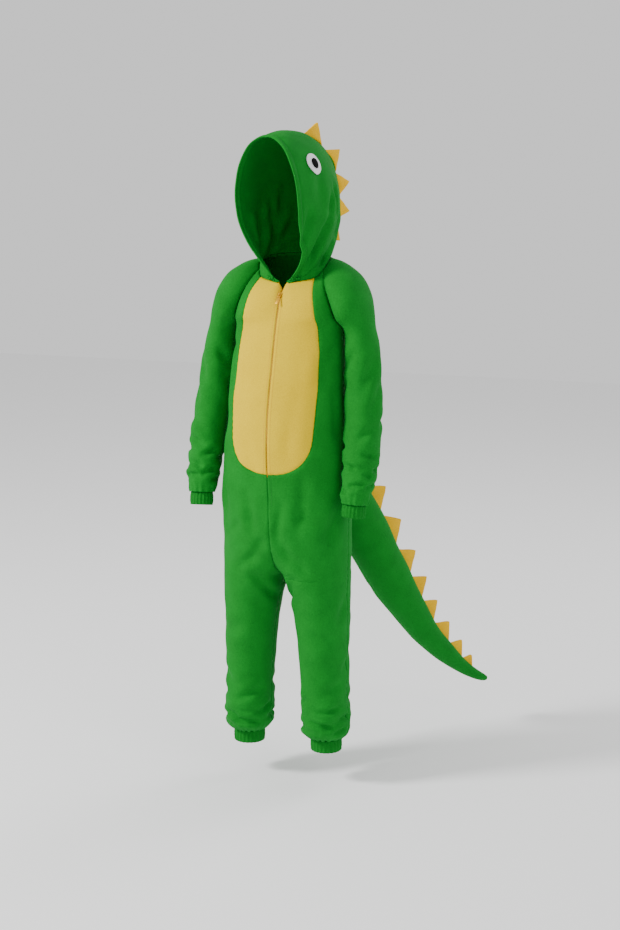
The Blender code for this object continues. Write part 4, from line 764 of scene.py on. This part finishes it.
def nearest(skins, place):
    """The nearest place on any of these surfaces, its normal, its face and how far away it is."""
    return min((skin.find_nearest(place) for skin in skins), key=lambda hit: hit[3])


packed_cloth = {"hood": [packed_skin["hood_left"], packed_skin["hood_right"]],
                "tail": [skin_of(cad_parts["tail"])]}
cloth = {"hood": [skin_of(sheets["hood_left"]), skin_of(sheets["hood_right"])], "tail": [skin_of(tail)]}
for node in HOOD_SPIKES + TAIL_SPIKES:
    mesh = packed_copy(node, bend=20)
    crease_edges(mesh, sharper_than=50, amount=0.55)
    for vert in mesh.verts:
        if nearest(packed_cloth[node[:4]], vert.co)[3] < BASE_REACH:
            place, out_way, _, _ = nearest(cloth[node[:4]], vert.co)
            vert.co = place - out_way * BASE_SINK
    spike = rounded(new_piece("padded_" + node, mesh), 3, passes=0)
    points, normals = read_points(spike)
    shift_points(spike, points + normals * slack(points, size=0.007, depth=0.0005)[:, None])
    finish_piece(spike, spike_fleece, "spike_fleece", "garment", node)


# The eyes: round discs of white felt with smaller black ones on them. They are cut out with clean
# edges and sewn flat to the sides of the hood.
def felt(name, colour, fleck, shine):
    """Pressed felt with short stray fibres."""
    material, tree, shader = new_material(name, {"Roughness": 0.85, "Specular IOR Level": shine})
    place = tree.nodes.new("ShaderNodeTexCoord")
    fibres = add_node(tree, "TexNoise", {"Scale": 900.0, "Detail": 4.0, "Distortion": 1.5})
    ramp = add_ramp(tree, (0.25, fleck), (0.60, colour))
    bump = add_node(tree, "Bump", {"Strength": 0.3, "Distance": 0.0003})
    wire(tree,
         (place, "Object", fibres, "Vector"), (fibres, "Fac", ramp, "Fac"),
         (ramp, "Color", shader, "Base Color"), (fibres, "Fac", bump, "Height"),
         (bump, "Normal", shader, "Normal"))
    return material


white_felt = felt("white felt", (0.80, 0.81, 0.82), (0.62, 0.63, 0.66), 0.25)
black_felt = felt("black felt", (0.002, 0.002, 0.002), (0.006, 0.006, 0.006), 0.06)
EYE_SINK = 0.0004
for word in ("left", "right"):
    hood_skin = skin_of(sheets["hood_" + word])
    for part, material, slot in (("eye_white_", white_felt, "eye_white"),
                                 ("eye_pupil_", black_felt, "eye_black")):
        node = part + word
        mesh = packed_copy(node)
        crease_edges(mesh, sharper_than=60, amount=0.6)
        for vert in mesh.verts:
            near, normal, _, _ = packed_skin["hood_" + word].find_nearest(vert.co)
            lift = (vert.co - near).dot(normal)
            seat, out_way, _, _ = hood_skin.find_nearest(vert.co)
            vert.co = seat + out_way * (lift - EYE_SINK)
        eye = rounded(new_piece("felt_" + node, mesh), 2)
        finish_piece(eye, material, slot, "garment", node)


# The zip: two woven tapes sewn behind the edges of the belly and fronts, with a nylon coil along the
# middle in two rows of meshing teeth. It is closed up to the slider.
def woven(name, dark, pale):
    """Tape woven of fine threads."""
    material, tree, shader = new_material(name, {"Roughness": 0.75})
    place = tree.nodes.new("ShaderNodeTexCoord")
    threads = add_node(tree, "TexWave", {"Scale": 420.0, "Distortion": 1.0})
    threads.bands_direction = "Z"
    ramp = add_ramp(tree, (0.0, dark), (1.0, pale))
    bump = add_node(tree, "Bump", {"Strength": 0.4, "Distance": 0.0002})
    wire(tree,
         (place, "Object", threads, "Vector"), (threads, "Fac", ramp, "Fac"),
         (ramp, "Color", shader, "Base Color"), (threads, "Fac", bump, "Height"),
         (bump, "Normal", shader, "Normal"))
    return material


def polished(name, colour, metallic, roughness):
    """Moulded nylon or lacquered metal, with faint wear in its shine."""
    material, tree, shader = new_material(name, {"Base Color": (*colour, 1.0), "Metallic": metallic})
    place = tree.nodes.new("ShaderNodeTexCoord")
    wear = add_node(tree, "TexNoise", {"Scale": 260.0, "Detail": 3.0})
    shine = add_node(tree, "MapRange", {"To Min": roughness - 0.08, "To Max": roughness + 0.12})
    wire(tree,
         (place, "Object", wear, "Vector"), (wear, "Fac", shine, "Value"),
         (shine, "Result", shader, "Roughness"))
    return material


zip_tape = woven("zip tape", (0.42, 0.20, 0.001), (0.58, 0.30, 0.003))
zip_coil = polished("zip coil", (0.50, 0.25, 0.002), 0.0, 0.40)
zip_metal = polished("zip metal", (0.62, 0.34, 0.010), 0.65, 0.34)
CHAIN_WIDTH = 0.0016
CHAIN_DEPTH = 0.0029
ZIP_GAP = 0.0012
FLY_TOP = -0.3862
FLY_FADE = 0.0045
FLY_END = (-0.485, -0.445)
FLY_GAP = 0.00025
FLY_DRAW = (0.0013, 0.0090)
FLY_WIDTH = 0.0066
FLY_LINE_END = (-0.456, -0.450)
FLY_LINE_HALF_WIDTH = 0.0011
FLY_DIP = 0.0012
BODY_FRONT = -0.05
TOOTH_PITCH = 0.0015
TOOTH_SIZE = (0.00125, 0.00075, 0.00085)
TOOTH_BEVEL = 0.00022
TOOTH_ASIDE = 0.00038
TOOTH_OUT = 0.0001

mesh = packed_copy("zip")
tops = [edge for edge in mesh.edges if abs(edge.calc_length() - CHAIN_WIDTH) < 0.00003]
chain = sorted(((edge.verts[0].co + edge.verts[1].co) / 2 for edge in tops), key=lambda co: co.z)
chain_heights = [place.z for place in chain]
chain_sides = [place.x for place in chain]


def under_fly(z):
    """1 below the belly, where the fronts close over the zip, and 0 beside it."""
    return 1 - smooth_step(FLY_TOP - FLY_FADE, FLY_TOP, z)


for vert in {vert for edge in tops for vert in edge.verts}:
    vert.co.y += CHAIN_DEPTH * float(under_fly(vert.co.z))
for place in chain:
    place.y += CHAIN_DEPTH * float(under_fly(place.z))
for word, side in (("left", 1), ("right", -1)):
    points, normals = read_points(sheets["front_" + word])
    z = points[:, 2]
    from_middle = np.abs(points[:, 0] - np.interp(z, chain_heights, chain_sides))
    gap = ZIP_GAP * smooth_step(*FLY_END, z) * under_fly(z)
    shift = np.clip(gap - FLY_GAP, 0, None) * (1 - smooth_step(*FLY_DRAW, from_middle))
    in_front = points[:, 1] < BODY_FRONT
    points[:, 0] -= side * shift * in_front
    if word == "left":
        line = np.exp(-((from_middle - FLY_WIDTH) / FLY_LINE_HALF_WIDTH) ** 2)
        line *= smooth_step(*FLY_LINE_END, z) * under_fly(z)
        points -= normals * (FLY_DIP * line * in_front)[:, None]
    shift_points(sheets["front_" + word], points)

crease_edges(mesh, sharper_than=30, amount=1.0)
tapes = rounded(new_piece("zip_tapes", mesh), 1)
finish_piece(tapes, zip_tape, "zip_tape", "garment", "zip")


def walk(line, step, start=0.0):
    """Places at even steps along a line of points, each with the direction of the line there."""
    left = start
    for a, b in zip(line, line[1:]):
        length = (b - a).length
        while left < length:
            yield a.lerp(b, left / length), (b - a).normalized()
            left += step
        left -= length


coil = bmesh.new()
across = Vector((1, 0, 0))
for number, (place, up) in enumerate(walk(chain, TOOTH_PITCH, start=0.001)):
    side = 1 if number % 2 else -1
    out = up.cross(across).normalized()
    if out.y > 0:
        out = -out
    turn = Matrix((across, out.cross(across), out)).transposed().to_4x4()
    spot = place + across * (side * TOOTH_ASIDE) + out * TOOTH_OUT
    tooth = bmesh.ops.create_cube(
        coil, size=1.0, matrix=Matrix.Translation(spot) @ turn @ Matrix.Diagonal((*TOOTH_SIZE, 1)))
    edges = list({edge for vert in tooth["verts"] for edge in vert.link_edges})
    bmesh.ops.bevel(coil, geom=edges, offset=TOOTH_BEVEL, segments=1, affect="EDGES", profile=0.5,
                    material=-1)
bmesh.ops.recalc_face_normals(coil, faces=coil.faces)
finish_piece(new_piece("zip_coil", coil), zip_coil, "zip_tape", "garment")


# The slider and its pull tab: die-cast metal lacquered in the colour of the zip. The tab swings on the
# bridge of the slider.
CAST_EDGE = 28


def eased(name, node, offset):
    """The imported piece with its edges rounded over."""
    mesh = packed_copy(node, bend=5)
    sharp = [edge for edge in mesh.edges if edge.calc_face_angle(0) > math.radians(CAST_EDGE)]
    bmesh.ops.bevel(mesh, geom=sharp, offset=offset, segments=2, affect="EDGES", profile=0.5,
                    material=-1, clamp_overlap=True)
    bmesh.ops.recalc_face_normals(mesh, faces=mesh.faces)
    return new_piece(name, mesh)


slider = eased("cast_slider", "zip_slider", 0.00022)
finish_piece(slider, zip_metal, "zip_metal", "garment", "zip_slider")
pull = eased("cast_pull", "zip_pull", 0.00018)
finish_piece(pull, zip_metal, "zip_metal", "zip_pull", "zip_pull")


# The stitching that shows: lockstitch in polyester thread round the hem of the hood, down both sides of
# the zip and down the fly below the belly.
def edge_line(node, wanted):
    """The points of a panel's free edge where wanted is true, in order from the top."""
    obj = sheets[node]
    points = read_points(obj)[0]
    kept = {int(number) for number in free_edge[node] if wanted(surface[node][0][number])}
    beside = {number: [] for number in kept}
    for edge in obj.data.edges:
        a, b = edge.vertices
        if a in kept and b in kept:
            beside[a].append(b)
            beside[b].append(a)
    ends = [number for number in kept if len(beside[number]) == 1]
    now = max(ends, key=lambda number: points[number][2])
    line = [now]
    seen = {now}
    while True:
        further = [number for number in beside[now] if number not in seen]
        if not further:
            break
        now = further[0]
        seen.add(now)
        line.append(now)
    return [Vector(points[number]) for number in line]


THREAD_RADIUS = 0.00042
STITCH_LENGTH = 0.0026
STITCH_PITCH = 0.0034
ZIP_STITCH_INSET = 0.0050
ZIP_STITCH_TOP = -0.030
FLY_STITCHES = (-0.449, -0.386)


def sew(name, node, wanted, inset, material, slot):
    """A row of stitches that follows a free edge at an even distance from it."""
    skin = skin_of(sheets[node])
    line = edge_line(node, wanted)
    seam = bmesh.new()
    for place, way in walk(line, STITCH_PITCH, start=0.004):
        across = skin.find_nearest(place)[1].cross(way).normalized()
        spots = [skin.find_nearest(place + across * inset * sign) for sign in (1, -1)]
        spot = min(spots, key=lambda found: found[3])
        normal = spot[1]
        way = (way - normal * way.dot(normal)).normalized()
        turn = Matrix((normal.cross(way), way, normal)).transposed().to_4x4()
        size = Matrix.Diagonal((THREAD_RADIUS, STITCH_LENGTH / 2, THREAD_RADIUS, 1))
        lie = Matrix.Translation(spot[0]) @ turn @ size @ Matrix.Rotation(math.pi / 2, 4, "X")
        bmesh.ops.create_uvsphere(seam, u_segments=6, v_segments=5, radius=1.0, matrix=lie)
    finish_piece(new_piece(name, seam), material, slot, "garment")


green_thread = polished("green thread", (0.0, 0.120, 0.002), 0.0, 0.55)
gold_thread = polished("gold thread", (0.60, 0.31, 0.001), 0.0, 0.55)
for word in ("left", "right"):
    sew("hood_hem_stitches_" + word, "hood_" + word, lambda place: True, HEM_WIDTH, green_thread,
        "green_fleece")
    sew("zip_stitches_" + word, "belly_" + word, lambda place: place[2] < ZIP_STITCH_TOP,
        ZIP_STITCH_INSET, gold_thread, "yellow_fleece")
sew("fly_stitches", "front_left",
    lambda place: abs(place[0]) < 0.02 and FLY_STITCHES[0] < place[2] < FLY_STITCHES[1],
    FLY_WIDTH, green_thread, "green_fleece")


# The floor, light and camera of the picture: a pale floor at the soles, a large soft lamp from the
# front left with weaker ones from the side and back, and the camera at the photograph's angle.
CAMERA_TURN = math.radians(22)
CAMERA_DOWN = math.radians(10.31)
CAMERA_AWAY = 3.2
CAMERA_HEIGHT = 1.2
FOCAL_PIXELS = 1714.0
IMAGE_HEIGHT = 930
IMAGE_MIDDLE = 310
AXIS_COLUMN = 287
SENSOR_HEIGHT = 36.0
LAMP_AIM = Vector((0, 0, -0.35))
right_way = Vector((math.cos(CAMERA_TURN), math.sin(CAMERA_TURN), 0))
forward = Vector((-math.sin(CAMERA_TURN), math.cos(CAMERA_TURN), 0))
across = (IMAGE_MIDDLE - AXIS_COLUMN) / FOCAL_PIXELS
across *= CAMERA_AWAY * math.cos(CAMERA_DOWN) + 0.6 * math.sin(CAMERA_DOWN)
stand = -CAMERA_AWAY * forward + across * right_way + Vector((0, 0, CAMERA_HEIGHT - FLOOR_BELOW_SHOULDERS))
lens = bpy.data.cameras.new("camera")
lens.sensor_fit = "VERTICAL"
lens.sensor_height = SENSOR_HEIGHT
lens.lens = SENSOR_HEIGHT * FOCAL_PIXELS / IMAGE_HEIGHT
camera = bpy.data.objects.new("camera", lens)
camera.matrix_world = (Matrix.Translation(stand) @ Matrix.Rotation(CAMERA_TURN, 4, "Z")
                       @ Matrix.Rotation(math.pi / 2 - CAMERA_DOWN, 4, "X"))
bpy.context.scene.collection.objects.link(camera)
bpy.context.scene.camera = camera

ground = bmesh.new()
bmesh.ops.create_grid(ground, x_segments=8, y_segments=8, size=6.0)
bmesh.ops.translate(ground, verts=ground.verts, vec=(0, 0, -FLOOR_BELOW_SHOULDERS))
floor = new_piece("floor", ground)
pale = new_material("pale floor", {"Base Color": (0.90, 0.90, 0.90, 1.0), "Roughness": 0.85})[0]
floor.data.materials.append(pale)

LAMPS = (
    ("key lamp", (-2.3, -1.9, 1.7), 0.8, 150.0),
    ("side lamp", (2.5, -1.5, 0.9), 1.4, 15.0),
    ("back lamp", (1.2, 2.4, 1.6), 1.6, 30.0),
)
for lamp_name, place, size, power in LAMPS:
    light = bpy.data.lights.new(lamp_name, "AREA")
    light.shape = "DISK"
    light.size = size
    light.energy = power
    lamp = bpy.data.objects.new(lamp_name, light)
    lamp.location = place
    lamp.rotation_euler = (LAMP_AIM - Vector(place)).to_track_quat("-Z", "Y").to_euler()
    bpy.context.scene.collection.objects.link(lamp)
world = bpy.data.worlds.new("studio")
world.use_nodes = True
fill_in(world.node_tree.nodes["Background"], {"Color": (1.0, 1.0, 1.0, 1.0), "Strength": 0.90})
bpy.context.scene.world = world
